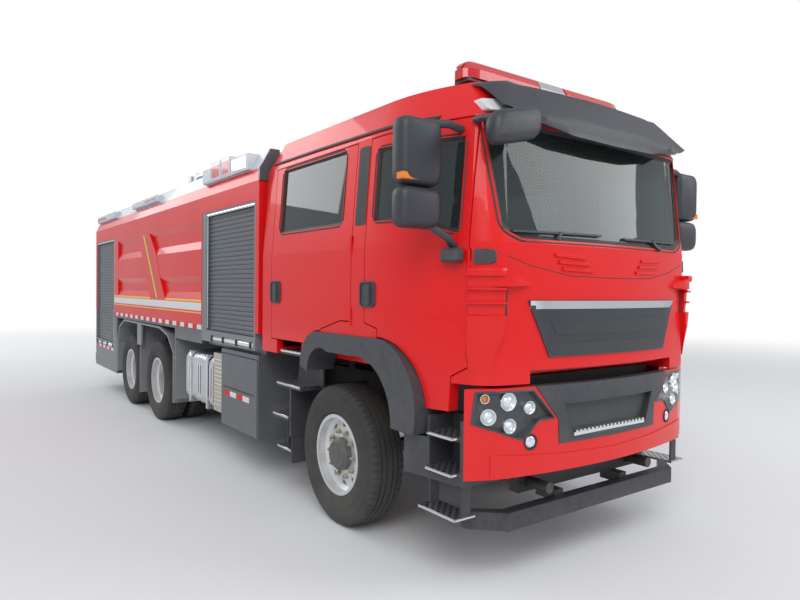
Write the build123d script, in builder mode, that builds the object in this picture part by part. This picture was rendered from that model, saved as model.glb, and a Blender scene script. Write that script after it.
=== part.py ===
from build123d import *
import os

# Foam fire truck on a three-axle cab-over chassis, in millimetres.
# X is to the truck's left, Y to its rear and Z up. The origin is on the ground under the middle of its length.

# Driving dimensions along the truck
mirror_reach = 35
front_overhang = 1585
wheelbase = 4600
bogie_spread = 1400
rear_overhang = 2250
cab_back = 1150
body_gap = 60
front_locker_length = 1480
rear_locker_length = 1400
tail_bar_depth = 60

# Driving dimensions across the truck
body_half_width = 1250
cab_half_width = 1235
frame_half_width = 430
front_flange_x = 1153
rear_flange_x = 1177
dual_spacing = 335
kingpin_x = 880

# Driving dimensions in height
hub_height = 520
frame_top = 1020
frame_depth = 280
cab_floor = 1208
door_bottom = 1040
rear_door_bottom = 1330
hood_bottom = 1285
belt_height = 2200
gutter_height = 2830
roof_height = 3100
body_floor = 1150
panel_bottom = 1300
crease_height = 2713
band_top = 2840
parapet_top = 2990
deck_height = 2760

# Clearances and wall thicknesses
seat_gap = 0.3
running_gap = 0.05
door_gap = 8
seam_gap = 4
door_wall = 60
body_wall = 40
glass_thickness = 6

# Stations along the truck
overall_length = mirror_reach + front_overhang + wheelbase + bogie_spread + rear_overhang
nose_y = mirror_reach - overall_length / 2
tail_y = overall_length / 2
axle_1 = nose_y + front_overhang
axle_2 = axle_1 + wheelbase
axle_3 = axle_2 + bogie_spread
cab_rear = axle_1 + cab_back
body_front = cab_rear + body_gap
body_rear = tail_y - tail_bar_depth
tank_front = body_front + front_locker_length
tank_rear = body_rear - rear_locker_length
os.makedirs("parts", exist_ok=True)


def write(solid, name):
    """Label one finished piece and write it as its own file."""
    solid.label = name
    export_step(solid, f"parts/{name}.step")


def other_side(solid):
    return mirror(solid, about=Plane.YZ)


def both_sides(solid):
    """The left piece and its mirror image as one node of two solids."""
    return Compound(children=list(solid.solids()) + list(other_side(solid).solids()))


def box(x, y, z):
    """A plain block between the low and high coordinates given for each axis."""
    with BuildPart() as block:
        with Locations(((x[0] + x[1]) / 2, (y[0] + y[1]) / 2, (z[0] + z[1]) / 2)):
            Box(x[1] - x[0], y[1] - y[0], z[1] - z[0])
    return block.part


def side_prism(outline, x, grow=0):
    """A side-view outline of Y and Z points, drawn out across the truck between two X values."""
    with BuildPart() as prism:
        with BuildSketch(Plane.YZ.offset(x[0])):
            with BuildLine():
                Polyline(*outline, close=True)
            make_face()
            if grow:
                offset(amount=grow, kind=Kind.INTERSECTION)
        extrude(amount=x[1] - x[0])
    return prism.part


def front_prism(outline, y, grow=0):
    """A front-view outline of X and Z points, drawn out along the truck between two Y values."""
    with BuildPart() as prism:
        with BuildSketch(Plane(origin=(0, y[0], 0), x_dir=(1, 0, 0), z_dir=(0, -1, 0))):
            with BuildLine():
                Polyline(*outline, close=True)
            make_face()
            if grow:
                offset(amount=grow, kind=Kind.INTERSECTION)
        extrude(amount=-(y[1] - y[0]))
    return prism.part


def plan_prism(outline, z):
    """A plan outline of X and Y points, drawn up between two heights."""
    with BuildPart() as prism:
        with BuildSketch(Plane.XY.offset(z[0])):
            with BuildLine():
                Polyline(*outline, close=True)
            make_face()
        extrude(amount=z[1] - z[0])
    return prism.part


def cross_bar(x, y, z, radius):
    """A round bar across the truck between two X values."""
    with BuildPart() as bar:
        with BuildSketch(Plane.YZ.offset(x[0])):
            with Locations((y, z)):
                Circle(radius)
        extrude(amount=x[1] - x[0])
    return bar.part


def post(x, y, z, radius):
    """An upright round post between two heights."""
    with BuildPart() as upright:
        with BuildSketch(Plane.XY.offset(z[0])):
            with Locations((x, y)):
                Circle(radius)
        extrude(amount=z[1] - z[0])
    return upright.part


def fused(pieces):
    """One solid from pieces that overlap."""
    with BuildPart() as joined:
        for piece in pieces:
            add(piece)
    return joined.part


def shifted(points, y=0, z=0):
    return [(first + y, second + z) for first, second in points]


# Wheels
rim_width = 250
rim_flange_radius = 298.5
bead_radius = 286
well_radius = 258
rim_wall = 12
tyre_overhang = 25
tyre_radius = hub_height
spindle_radius = 45
rear_spindle_radius = 60
hub_radius = 120
hub_cap = 12
stud_circle = 335
stud_count = 10
nut_radius = 17
nut_height = 26
hand_hole_circle = 215
hand_hole_radius = 17
disc_thickness = 14
wheel_plane = Plane(origin=(0, 0, hub_height), x_dir=(1, 0, 0), z_dir=(0, -1, 0))
wheel_axis = Axis((0, 0, hub_height), (1, 0, 0))


def turned_piece(outline):
    """One ring of a wheel, from an outline of across and radius."""
    with BuildPart() as ring:
        with BuildSketch(wheel_plane):
            with BuildLine():
                Polyline(*outline, close=True)
            make_face()
        revolve(axis=wheel_axis)
    return ring.part


def rim(flange_x, root_depth, disc_depth, inward=1):
    """A steel wheel. Depths run from the flange plane into the truck, or outwards where inward is -1."""
    # Columns: depth, radius
    barrel = [(0, rim_flange_radius), (10, rim_flange_radius), (12, bead_radius), (58, bead_radius - 2),
              (78, well_radius), (172, well_radius), (192, bead_radius - 2), (238, bead_radius),
              (240, rim_flange_radius), (rim_width, rim_flange_radius), (rim_width, bead_radius - rim_wall),
              (186, bead_radius - rim_wall), (166, well_radius - rim_wall), (84, well_radius - rim_wall),
              (64, bead_radius - rim_wall), (0, bead_radius - rim_wall)]
    foot = disc_depth + disc_thickness
    disc = [(root_depth - disc_thickness, well_radius - rim_wall / 2), (root_depth, well_radius - rim_wall / 2),
            (foot, stud_circle / 2 + 20), (foot, hub_radius - 20), (disc_depth, hub_radius - 20),
            (disc_depth, stud_circle / 2 + 20)]
    face = Plane(origin=(flange_x - inward * disc_depth, 0, hub_height), x_dir=(0, 1, 0), z_dir=(inward, 0, 0))
    with BuildPart() as made:
        for outline in (barrel, disc):
            add(turned_piece([(flange_x - inward * depth, radius) for depth, radius in outline]))
        with BuildSketch(face):
            with PolarLocations(hand_hole_circle, stud_count, start_angle=18):
                Circle(hand_hole_radius)
        extrude(amount=80, both=True, mode=Mode.SUBTRACT)
    return made.part


def hub(flange_x, disc_depth, reach, tail, bore_radius):
    """The hub that carries a wheel, with its cap and wheel nuts."""
    nose_x = flange_x - disc_depth + reach
    foot_x = flange_x - disc_depth - tail
    outline = [(nose_x, 0), (nose_x, hub_radius - 25), (nose_x - 25, hub_radius), (foot_x, hub_radius),
               (foot_x, bore_radius), (nose_x - hub_cap, bore_radius), (nose_x - hub_cap, 0)]
    face = Plane(origin=(flange_x - disc_depth - 1, 0, hub_height), x_dir=(0, 1, 0), z_dir=(1, 0, 0))
    with BuildPart() as made:
        add(turned_piece(outline))
        with BuildSketch(face):
            with PolarLocations(stud_circle / 2, stud_count):
                RegularPolygon(nut_radius, 6)
        extrude(amount=nut_height + 1)
    return made.part


def tyre(flange_x):
    """A closed tyre on its bead seats, its outline in straight runs."""
    # Columns: depth from the flange plane, radius
    half = [(13, bead_radius + seat_gap), (13, rim_flange_radius + 6), (-tyre_overhang, 370), (-tyre_overhang, 430),
            (0, tyre_radius - 18), (28, tyre_radius)]
    outline = half + [(rim_width - depth, radius) for depth, radius in reversed(half)]
    return turned_piece([(flange_x - depth, radius) for depth, radius in outline])


front_disc_root = 98
front_disc_depth = 62
rear_disc_root = 164
rear_disc_depth = (rim_width + dual_spacing) / 2 - disc_thickness
front_hub_reach = 68
front_hub_tail = 70
rear_hub_reach = 150
rear_hub_tail = 60
inner_flange_x = rear_flange_x - dual_spacing - rim_width
with BuildPart() as front_rim:
    add(rim(front_flange_x, front_disc_root, front_disc_depth))
    add(hub(front_flange_x, front_disc_depth, front_hub_reach, front_hub_tail, spindle_radius + running_gap))
with BuildPart() as dual_rims:
    add(rim(rear_flange_x, rear_disc_root, rear_disc_depth))
    add(rim(inner_flange_x, rear_disc_root, rear_disc_depth, inward=-1))
    add(hub(rear_flange_x, rear_disc_depth, rear_hub_reach, rear_hub_tail, rear_spindle_radius + running_gap))
front_tyre = tyre(front_flange_x)
dual_tyres = Compound(children=[tyre(rear_flange_x), tyre(rear_flange_x - dual_spacing)])
for row, axle, rims, tyres in (("front", axle_1, front_rim.part, front_tyre),
                               ("middle", axle_2, dual_rims.part, dual_tyres),
                               ("rear", axle_3, dual_rims.part, dual_tyres)):
    for piece, solid in (("rim", rims), ("tyre", tyres)):
        placed = solid.moved(Location((0, axle, 0)))
        write(placed, f"{row}_{piece}_left")
        write(other_side(placed), f"{row}_{piece}_right")

# Chassis frame
rail_width = 80
frame_front = axle_1 - 1250
frame_rear = body_rear - 100
rail_bottom = frame_top - frame_depth
tow_pin_x = 524
tow_pin_height = 546
tow_pin_radius = 35
tow_pin_length = 170
bracket_depth = 80
tilt_y = axle_1 - 1450
tilt_z = 950
tilt_pin_radius = 18
tilt_arm_x = (335, 375)
tilt_lug_x = (400, 430)
cross_members = (frame_front + 40, axle_1 + 1500, axle_1 + 3200, (axle_2 + axle_3) / 2, frame_rear - 40)
rail_x = (frame_half_width - rail_width, frame_half_width)
with BuildPart() as chassis_frame:
    for sign in (1, -1):
        add(box(sorted((sign * rail_x[0], sign * rail_x[1])), (frame_front, frame_rear), (rail_bottom, frame_top)))
    for station in cross_members:
        add(box((-rail_x[0], rail_x[0]), (station - 40, station + 40), (rail_bottom + 60, frame_top - 60)))
    add(box((-620, 620), (frame_front - bracket_depth, frame_front), (tow_pin_height - 60, frame_top - 120)))
    for sign in (1, -1):
        with BuildSketch(Plane(origin=(sign * tow_pin_x, frame_front - bracket_depth, tow_pin_height),
                               x_dir=(1, 0, 0), z_dir=(0, -1, 0))):
            Circle(tow_pin_radius)
        extrude(amount=tow_pin_length)
    for sign in (1, -1):
        add(box(sorted((sign * tilt_lug_x[0], sign * tilt_lug_x[1])), (tilt_y - 35, frame_front), (800, tilt_z + 35)))
        add(cross_bar(sorted((sign * (tilt_arm_x[0] - 6), sign * tilt_lug_x[1])), tilt_y, tilt_z, tilt_pin_radius))
        add(box(sorted((sign * rail_x[0], sign * rail_x[1])), (axle_1 + 900, axle_1 + 1000),
                (frame_top - 10, cab_floor - seat_gap)))
write(chassis_frame.part, "chassis_frame")

# Axles and springs
eye_radius = 60
eye_half_height = 60
kingpin_radius = 25
beam_depth = 80
spring_x = (rail_x[0] + 5, rail_x[1] - 5)
spring_reach = 750
spring_thickness = 60
housing_radius = 90
drum_radius = 205
with BuildPart() as front_axle:
    add(box((-(kingpin_x - 40), kingpin_x - 40), (axle_1 - 50, axle_1 + 50),
            (hub_height - beam_depth / 2, hub_height + beam_depth / 2)))
    for sign in (1, -1):
        with Locations((sign * kingpin_x, axle_1, hub_height)):
            Cylinder(eye_radius, 2 * eye_half_height)
            Cylinder(kingpin_radius + running_gap, 2 * eye_half_height, mode=Mode.SUBTRACT)
    for sign in (1, -1):
        low = sorted((sign * spring_x[0], sign * spring_x[1]))
        with BuildSketch(Plane.YZ.offset(low[0])):
            with BuildLine():
                lower = ThreePointArc((axle_1 - spring_reach, rail_bottom - 90), (axle_1, hub_height + 40),
                                      (axle_1 + spring_reach, rail_bottom - 90))
                upper = ThreePointArc((axle_1 - spring_reach, rail_bottom), (axle_1, hub_height + 40 + spring_thickness),
                                      (axle_1 + spring_reach, rail_bottom))
                Line(lower @ 0, upper @ 0)
                Line(lower @ 1, upper @ 1)
            make_face()
        extrude(amount=low[1] - low[0])
        add(box(low, (axle_1 - 70, axle_1 + 70), (hub_height, hub_height + 40 + spring_thickness + 15)))
bogie_middle = (axle_2 + axle_3) / 2
with BuildPart() as rear_axles:
    for axle in (axle_2, axle_3):
        with Locations(Location((0, axle, hub_height), (0, 90, 0))):
            Cylinder(housing_radius, 2 * 640)
            Cylinder(rear_spindle_radius, 2 * (rear_flange_x - rear_disc_depth + rear_hub_reach - hub_cap - 6))
            Sphere(230)
        for sign in (1, -1):
            with Locations(Location((sign * 700, axle, hub_height), (0, 90, 0))):
                Cylinder(drum_radius, 120)
    for sign in (1, -1):
        low = sorted((sign * spring_x[0], sign * spring_x[1]))
        add(box(low, (axle_2 - 80, axle_3 + 80), (hub_height + 60, hub_height + 60 + 2 * spring_thickness)))
        add(box(low, (bogie_middle - 160, bogie_middle + 160), (hub_height + 100, rail_bottom)))
write(Compound(children=list(front_axle.part.solids()) + list(rear_axles.part.solids())), "axles")

# Steering knuckles
lug_height = 50
with BuildPart() as knuckle:
    for low, high in ((hub_height + eye_half_height + 2, hub_height + eye_half_height + 2 + lug_height),
                      (hub_height - eye_half_height - 2 - lug_height, hub_height - eye_half_height - 2)):
        add(box((kingpin_x - 50, kingpin_x + eye_radius + 40), (axle_1 - 50, axle_1 + 50), (low, high)))
    add(box((kingpin_x + eye_radius + 6, kingpin_x + eye_radius + 40), (axle_1 - 50, axle_1 + 50),
            (hub_height - eye_half_height - 2 - lug_height, hub_height + eye_half_height + 2 + lug_height)))
    with Locations((kingpin_x, axle_1, hub_height)):
        Cylinder(kingpin_radius, 2 * (eye_half_height + 2 + lug_height))
    spindle_end = front_flange_x - front_disc_depth + front_hub_reach - hub_cap - 6
    with BuildSketch(Plane.YZ.offset(kingpin_x + eye_radius + 20)):
        with Locations((axle_1, hub_height)):
            Circle(spindle_radius)
    extrude(amount=spindle_end - (kingpin_x + eye_radius + 20))
write(knuckle.part, "knuckle_left")
write(other_side(knuckle.part), "knuckle_right")

# Engine, one plain block on its mounts
engine_half_width = 300
engine_front = axle_1 - 900
engine_rear = axle_1 + 800
with BuildPart() as engine_block:
    add(box((-engine_half_width, engine_half_width), (engine_front, engine_rear), (640, cab_floor - 60)))
    for station in (engine_front + 200, engine_rear - 200):
        add(box((-rail_x[0] + seat_gap, rail_x[0] - seat_gap), (station - 50, station + 50),
                (rail_bottom + 60, rail_bottom + 140)))
write(engine_block.part, "engine_block")

# Cab form
taper_start = 550
side_inset = 150
nose_inset = 330
# Columns: height, half width, nose and corner ahead of the front axle, rear behind it
cab_sections = ((door_bottom - 20, cab_half_width, front_overhang, 1360, cab_back),
                (hood_bottom + 750, cab_half_width, front_overhang - 15, 1360, cab_back),
                (gutter_height - 50, cab_half_width - 55, front_overhang - 140, 1340, cab_back),
                (roof_height - 75, cab_half_width - 170, front_overhang - 255, 1190, cab_back - 90),
                (roof_height, cab_half_width - 400, front_overhang - 485, 960, cab_back - 210))


def cab_form(inset):
    """The closed outer form of the cab, drawn in by the inset, or out where it is negative."""
    with BuildPart() as form:
        for height, half_width, nose, corner, rear in cab_sections:
            level = height - inset * max(0, height - gutter_height) / (roof_height - gutter_height)
            if height < hood_bottom:
                level = height - abs(inset)
            w, n, c, r = half_width - inset, nose - inset, corner - 0.7 * inset, rear - inset
            # Columns: half width, distance ahead of the front axle
            rounding = ((w, taper_start), (w - side_inset / 4, (taper_start + c) / 2), (w - side_inset, c),
                        (w - 0.63 * nose_inset, c + 0.36 * (n - c)), (w - nose_inset, c + 0.6 * (n - c)))
            left = [(x, axle_1 - y) for x, y in rounding]
            right = [(-x, y) for x, y in left]
            with BuildSketch(Plane.XY.offset(level)):
                with BuildLine():
                    ThreePointArc(left[0], left[1], left[2])
                    ThreePointArc(left[2], left[3], left[4])
                    ThreePointArc(left[4], (0, axle_1 - n), right[4])
                    ThreePointArc(right[4], right[3], right[2])
                    ThreePointArc(right[2], right[1], right[0])
                    Polyline(right[0], (-w, axle_1 + r), (w, axle_1 + r), left[0])
                make_face()
        loft(ruled=True)
    return form.part


# Wheel arch flares, in side view behind and above the front axle
flare_out = cab_half_width + 18
flare_in = 1010
arch_rear = 404
arch_front = 1060
arch_top = 1432
lip_rear = 290
lip_front = 830
lip_top = 1293
flare_foot = 880


def arch_edge(rear, front, top, foot, rear_foot):
    """The curved line of a wheel arch, from its rear foot over the wheel to its front foot."""
    up = ThreePointArc((axle_1 + rear, rear_foot), (axle_1 + rear * 0.85, (rear_foot + 2 * top) / 3),
                       (axle_1 + rear - 300, top))
    across = Line(up @ 1, (axle_1 - front + 470, top))
    down = ThreePointArc(across @ 1, (axle_1 - front + 125, top - 110), (axle_1 - front, foot))
    return up, across, down


def arch_block(x, grow=0):
    """Everything inside the flares' outer edge, out across the truck between two X values."""
    with BuildPart() as block:
        with BuildSketch(Plane.YZ.offset(x[0])):
            with BuildLine():
                up, across, down = arch_edge(arch_rear, arch_front, arch_top, flare_foot, 1150)
                Polyline(down @ 1, (axle_1 - arch_front, 900 - 300), (axle_1 + arch_rear, 600), up @ 0)
            make_face()
            if grow:
                offset(amount=grow, kind=Kind.INTERSECTION)
        extrude(amount=x[1] - x[0])
    return block.part


with BuildPart() as flare:
    with BuildSketch(Plane.YZ.offset(flare_in)):
        with BuildLine():
            outer_up, outer_across, outer_down = arch_edge(arch_rear, arch_front, arch_top, flare_foot, 1150)
            inner_up, inner_across, inner_down = arch_edge(lip_rear, lip_front, lip_top, flare_foot, 1120)
            Line(outer_down @ 1, inner_down @ 1)
            Line(inner_up @ 0, outer_up @ 0)
        make_face()
    extrude(amount=flare_out - flare_in)
write(both_sides(flare.part), "arch_flares")

# Cab doors: side-view outlines of distance behind the front axle and height
door_top = gutter_height - 65
front_door_outline = ((-490, door_top), (-490, 1532), (-640, 1500), (-640, door_bottom), (-1240, door_bottom),
                      (-1250, 1250), (-1355, 1310), (-1355, door_top))
rear_door_outline = ((965, door_top), (965, rear_door_bottom), (300, rear_door_bottom), (100, 1460), (-170, 1532),
                     (-310, 1532), (-310, door_top))
front_window_outline = ((-565, 2690), (-565, 2205), (-900, 2195), (-1290, 2085), (-1290, 2660))
rear_window_outline = ((845, 2745), (845, 2215), (-165, 2215), (-165, 2745))
windscreen_outline = ((-800, 2060), (-935, 2120), (-995, 2700), (-995, 2755), (995, 2755), (995, 2700),
                      (935, 2120), (800, 2060))
hood_outline = ((-720, hood_bottom), (-830, 1640), (-830, 2040), (830, 2040), (830, 1640), (720, hood_bottom))
glass_inset = 20
past = 1400
door_reach = 1010
shell_ring = cab_form(0) - cab_form(door_wall)
opening_ring = cab_form(-20) - cab_form(door_wall + door_gap)
hinge_radius = 10
hinge_pin = 5
hinge_gap = 5.5
# Columns: X and distance behind the axle of each row's hinge line, heights of its two hinges
hinge_table = {"front": (1088, -1359, (1420, 1930)), "rear": (cab_half_width + 1, -314, (1560, 2060))}
pillar_knuckles = []
pillar_notches = []
glass_ring = cab_form(glass_inset) - cab_form(glass_inset + glass_thickness)
doors = (("front", front_door_outline, front_window_outline), ("rear", rear_door_outline, rear_window_outline))
openings = []
for row, outline, window in doors:
    outline = shifted(outline, y=axle_1)
    window = shifted(window, y=axle_1)
    door = shell_ring & side_prism(outline, (door_reach, past))
    door = door - side_prism(window, (door_reach, past)) - arch_block((door_reach, past), grow=door_gap)
    pane = glass_ring & side_prism(window, (door_reach, past), grow=-seat_gap)
    hinge_x, hinge_y, heights = hinge_table[row]
    for z in heights:
        line = (hinge_x, axle_1 + hinge_y)
        door = door - post(*line, (z - 66, z), hinge_radius + hinge_gap)
        door = door + post(*line, (z + seat_gap, z + 60), hinge_radius)
        door = door - post(*line, (z - 10, z + 70), hinge_pin + running_gap)
        pillar_notches += [post(*line, (z - 5, z + 66), hinge_radius + hinge_gap)]
        pillar_knuckles += [post(*line, (z - 60, z), hinge_radius), post(*line, (z - 20, z + 60), hinge_pin)]
    write(door.solid(), f"{row}_door_left")
    write(other_side(door.solid()), f"{row}_door_right")
    write(pane, f"{row}_glass_left")
    write(other_side(pane), f"{row}_glass_right")
    opening = opening_ring & side_prism(outline, (door_reach - 20, past), grow=door_gap)
    openings += [opening, other_side(opening)]

# Cab shell
floor_thickness = 50
step_well = ((410, cab_floor - 200), (860, cab_floor - 200), (860, rear_door_bottom), (410, rear_door_bottom))
with BuildPart() as cab_shell:
    add(shell_ring)
    add(cab_form(2) & box((-past, past), (nose_y, cab_rear), (cab_floor, cab_floor + floor_thickness)))
    add(cab_form(door_wall / 2) & box((-past, past), (axle_1 - 1420, axle_1 - 1380), (cab_floor + 30, 2040)))
    add(box((-past, past), (nose_y - 100, cab_rear + 100), (0, cab_floor)), mode=Mode.SUBTRACT)
    add(box((-740, 740), (nose_y - 100, axle_1 - 1290), (0, hood_bottom - 35)), mode=Mode.SUBTRACT)
    add(box((-745, 745), (axle_1 - 1420, axle_1 - 1280), (hood_bottom - 35, hood_bottom)))
    add(box((-740, 740), (nose_y - 100, axle_1 - 1422), (0, hood_bottom)), mode=Mode.SUBTRACT)
    for piece in openings:
        add(piece, mode=Mode.SUBTRACT)
    for x in ((1000, past), (-past, -1000)):
        add(arch_block(x, grow=seat_gap), mode=Mode.SUBTRACT)
        add(side_prism(shifted(step_well, y=axle_1), x), mode=Mode.SUBTRACT)
    add(front_prism(hood_outline, (nose_y - 100, axle_1 - 1422), grow=seat_gap), mode=Mode.SUBTRACT)
    add(front_prism(windscreen_outline, (nose_y - 100, axle_1 - 1100)), mode=Mode.SUBTRACT)
    for piece in pillar_notches:
        for side in (piece, other_side(piece)):
            add(side, mode=Mode.SUBTRACT)
    for piece in pillar_knuckles:
        for side in (piece, other_side(piece)):
            add(side)
    for sign in (1, -1):
        arm = sorted((sign * tilt_arm_x[0], sign * tilt_arm_x[1]))
        add(side_prism(shifted(((-12, 29), (170, 270), (250, 270), (28, -12)), y=tilt_y, z=tilt_z), arm))
        add(cross_bar(arm, tilt_y, tilt_z, 32))
        add(cross_bar(arm, tilt_y, tilt_z, tilt_pin_radius + running_gap), mode=Mode.SUBTRACT)
write(cab_shell.part, "cab_shell")
write(glass_ring & front_prism(windscreen_outline, (nose_y - 100, axle_1 - 1100), grow=-seat_gap), "windscreen")

# Hood and grille
grille_outline = ((-600, 1360), (-740, 1650), (-760, 1700), (760, 1700), (740, 1650), (600, 1360))
hood = (cab_form(0) - cab_form(40)) & front_prism(hood_outline, (nose_y - 100, axle_1 - 1422))
hood = hood - front_prism(grille_outline, (nose_y - 100, axle_1 - 1400), grow=seat_gap)
write(hood, "hood_panel")
grille_solid = (cab_form(-10) - cab_form(40)) & front_prism(grille_outline, (nose_y - 100, axle_1 - 1422))
write(grille_solid, "grille")

# Sun visor, light bar and kerb mirror on the cab
visor_gap = 100
visor_outline = ((-1120, 2930), (-1120, 2840), (-800, 2840), (-400, 2750), (0, 2720), (400, 2750), (800, 2840),
                 (1120, 2840), (1120, 2930), (600, 3000), (-600, 3000))
visor_span = (nose_y - 200, axle_1 - 1150)
with BuildPart() as sun_visor:
    add((cab_form(-visor_gap - 20) - cab_form(-visor_gap)) & front_prism(visor_outline, visor_span))
    for x in (-620, 580):
        add((cab_form(-visor_gap - 10) - cab_form(-seat_gap)) & box((x, x + 40), visor_span, (2860, 2960)))
write(sun_visor.part, "sun_visor")

bar_y = axle_1 - 950
with BuildPart() as light_bar:
    add(box((-810, 810), (bar_y - 70, bar_y + 70), (roof_height + 20, roof_height + 150)))
    for x in (-600, 500):
        add(box((x, x + 100), (bar_y - 60, bar_y + 100), (roof_height + seat_gap, roof_height + 30)))
write(light_bar.part, "light_bar")

kerb_x = -1000
kerb_y = axle_1 - 1560
with BuildPart() as kerb_mirror:
    add(box((kerb_x - 130, kerb_x + 100), (kerb_y - 60, kerb_y + 20), (2590, 2790)))
    add(box((kerb_x - 20, kerb_x + 20), (kerb_y, kerb_y + 400), (2700, 2730)) - cab_form(-seat_gap))
write(kerb_mirror.part.solids().sort_by(Axis.Y)[0], "kerb_mirror")

# Door mirrors, on the door frame ahead of the window
mirror_x = (1200, 1500)
mirror_y = axle_1 - 1220
mirror_z = (2060, 2700)
arm_heights = (2130, 2620)
with BuildPart() as door_mirror:
    add(box(mirror_x, (mirror_y - 60, mirror_y + 50), mirror_z))
    for height in arm_heights:
        add(box((1000, mirror_x[0] + 20), (mirror_y - 130, mirror_y - 95), (height, height + 30))
            - cab_form(-seat_gap))
        add(box((mirror_x[0] - 40, mirror_x[0] + 20), (mirror_y - 130, mirror_y - 20), (height, height + 30)))
mirror_left = door_mirror.part.solids().sort_by(Axis.X)[-1]
write(mirror_left, "mirror_left")
write(other_side(mirror_left), "mirror_right")

# Cab interior
cabin_floor = cab_floor + floor_thickness + seat_gap
# Columns: middle X, width, front Y behind the axle
seat_table = ((600, 500, -650), (-600, 500, -650), (660, 520, 330), (0, 520, 330), (-660, 520, 330))
seats = []
for middle, width, front in seat_table:
    low = (middle - width / 2, middle + width / 2)
    seats.append(fused((box((middle - 150, middle + 150), (axle_1 + front + 80, axle_1 + front + 420),
                            (cabin_floor, 1620)),
                        box(low, (axle_1 + front, axle_1 + front + 500), (1600, 1730)),
                        side_prism(shifted(((380, 1640), (500, 1640), (590, 2330), (500, 2330)),
                                           y=axle_1 + front), low))))
write(Compound(children=seats), "cab_seats")

wheel_middle = (600, axle_1 - 850, 2020)
cabin_room = cab_form(door_wall + door_gap)
with BuildPart() as dashboard:
    add(cabin_room & side_prism(shifted(((seat_gap - 1380, 1700), (-1000, 1650), (-1000, 1900), (-1150, 2030),
                                         (seat_gap - 1380, 2030)), y=axle_1), (-1100, 1100)))
    with Locations(Location(wheel_middle, (55, 0, 0))):
        Torus(215, 17)
        Box(430, 30, 20)
    with BuildSketch(Plane(origin=wheel_middle, x_dir=(1, 0, 0), z_dir=(0, -0.82, -0.57))):
        Circle(35)
    extrude(amount=260)
write(dashboard.part, "dashboard")

# Bumper group on the chassis
bumper_back = 1380


def bumper_form(inset, z):
    """The closed plan form of the bumper between two heights, drawn in by the inset."""
    with BuildPart() as form:
        with BuildSketch(Plane.XY.offset(z[0])):
            with BuildLine():
                front = ThreePointArc((-950 + inset, axle_1 - 1470 + inset), (0, axle_1 - 1575 + inset),
                                      (950 - inset, axle_1 - 1470 + inset))
                back = axle_1 - bumper_back + max(0, inset)
                Polyline(front @ 1, (1130 - inset, back - 5), (1130 - inset, back), (-1130 + inset, back),
                         (-1130 + inset, back - 5), front @ 0)
            make_face()
        extrude(amount=z[1] - z[0])
    return form.part


bumper_low = 660
bumper_top = 1188
bumper_wall = 60
lamp_outline = ((1075, 1170), (700, 1170), (530, 985), (657, 980), (773, 870), (1095, 985))
centre_outline = ((-690, bumper_top + 5), (-507, 976), (-500, 828), (500, 828), (507, 976), (690, bumper_top + 5))
recess_outline = ((-465, 1067), (-375, 857), (375, 857), (465, 1067))
bumper_span = (nose_y - 100, axle_1 - bumper_back)
bumper_z = (bumper_low, bumper_top)
with BuildPart() as bumper:
    add(bumper_form(1, bumper_z))
    add(bumper_form(bumper_wall, bumper_z), mode=Mode.SUBTRACT)
    add(front_prism(centre_outline, bumper_span, grow=seat_gap), mode=Mode.SUBTRACT)
    for sign in (1, -1):
        add(front_prism([(sign * x, z) for x, z in lamp_outline], bumper_span, grow=seat_gap), mode=Mode.SUBTRACT)
        low = sorted((sign * 460, sign * 600))
        add(box(low, (axle_1 - 1500, axle_1 - 1330 - seat_gap), (700, 800)))
write(bumper.part, "bumper")
lamps = bumper_form(-4, bumper_z) - bumper_form(bumper_wall, bumper_z)
lamps = lamps & front_prism(lamp_outline, bumper_span)
write(both_sides(lamps), "headlamps")
with BuildPart() as bumper_centre:
    add(bumper_form(-4, bumper_z) & front_prism(centre_outline, bumper_span))
    add(bumper_form(bumper_wall, bumper_z), mode=Mode.SUBTRACT)
    add(front_prism(recess_outline, bumper_span), mode=Mode.SUBTRACT)
    add(box((-480, 480), (axle_1 - 1520, axle_1 - 1500), (845, 1080)))
    add(box((-380, 380), (axle_1 - 1560, axle_1 - 1460), (857, 880)))
write(bumper_centre.part, "bumper_centre")

# Front under-run bar
bar_plan = ((-1030, -1255), (-1030, -1315), (-860, -1480), (860, -1480), (1030, -1315), (1030, -1255),
            (830, -1400), (-830, -1400))
with BuildPart() as underrun_bar:
    add(plan_prism([(x, axle_1 + y) for x, y in bar_plan], (343, 450)))
    for sign in (1, -1):
        low = sorted((sign * 300, sign * 380))
        add(box(low, (axle_1 - 1420, axle_1 - 1260), (420, tow_pin_height - 60 - seat_gap)))

# Cab steps and front mudguards on the chassis
# Columns: front and rear of the tread behind the axle, top of the tread, its outer X
rear_treads = ((420, 810, 1240, 1215), (455, 870, 965, 1220), (650, 930, 700, 1225))
front_step_plan = [(x, axle_1 + y) for x, y in ((780, -1378), (1125, -1378), (1195, -900), (780, -900))]
front_step_side = ((-1400, 620), (-1400, 1000), (-1095, 1000), (-1095, 865), (-880, 865), (-880, 620))
with BuildPart() as front_steps:
    add(plan_prism(front_step_plan, (620, 1000)) & side_prism(shifted(front_step_side, y=axle_1), (700, past)))
    for low, high in ((905, 1020), (695, 875)):
        add(box((980, past), (axle_1 - 1350, axle_1 - 1115), (low, high)), mode=Mode.SUBTRACT)
    add(box((frame_half_width + seat_gap, 800), (axle_1 - 1240, axle_1 - 1140), (760, 840)))
    add(box((1040, 1180), (axle_1 - 1370, axle_1 - 1050), (430, 445)))
    for y in (-1360, -1072):
        add(box((1050, 1120), (axle_1 + y, axle_1 + y + 12), (430, 630)))
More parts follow.
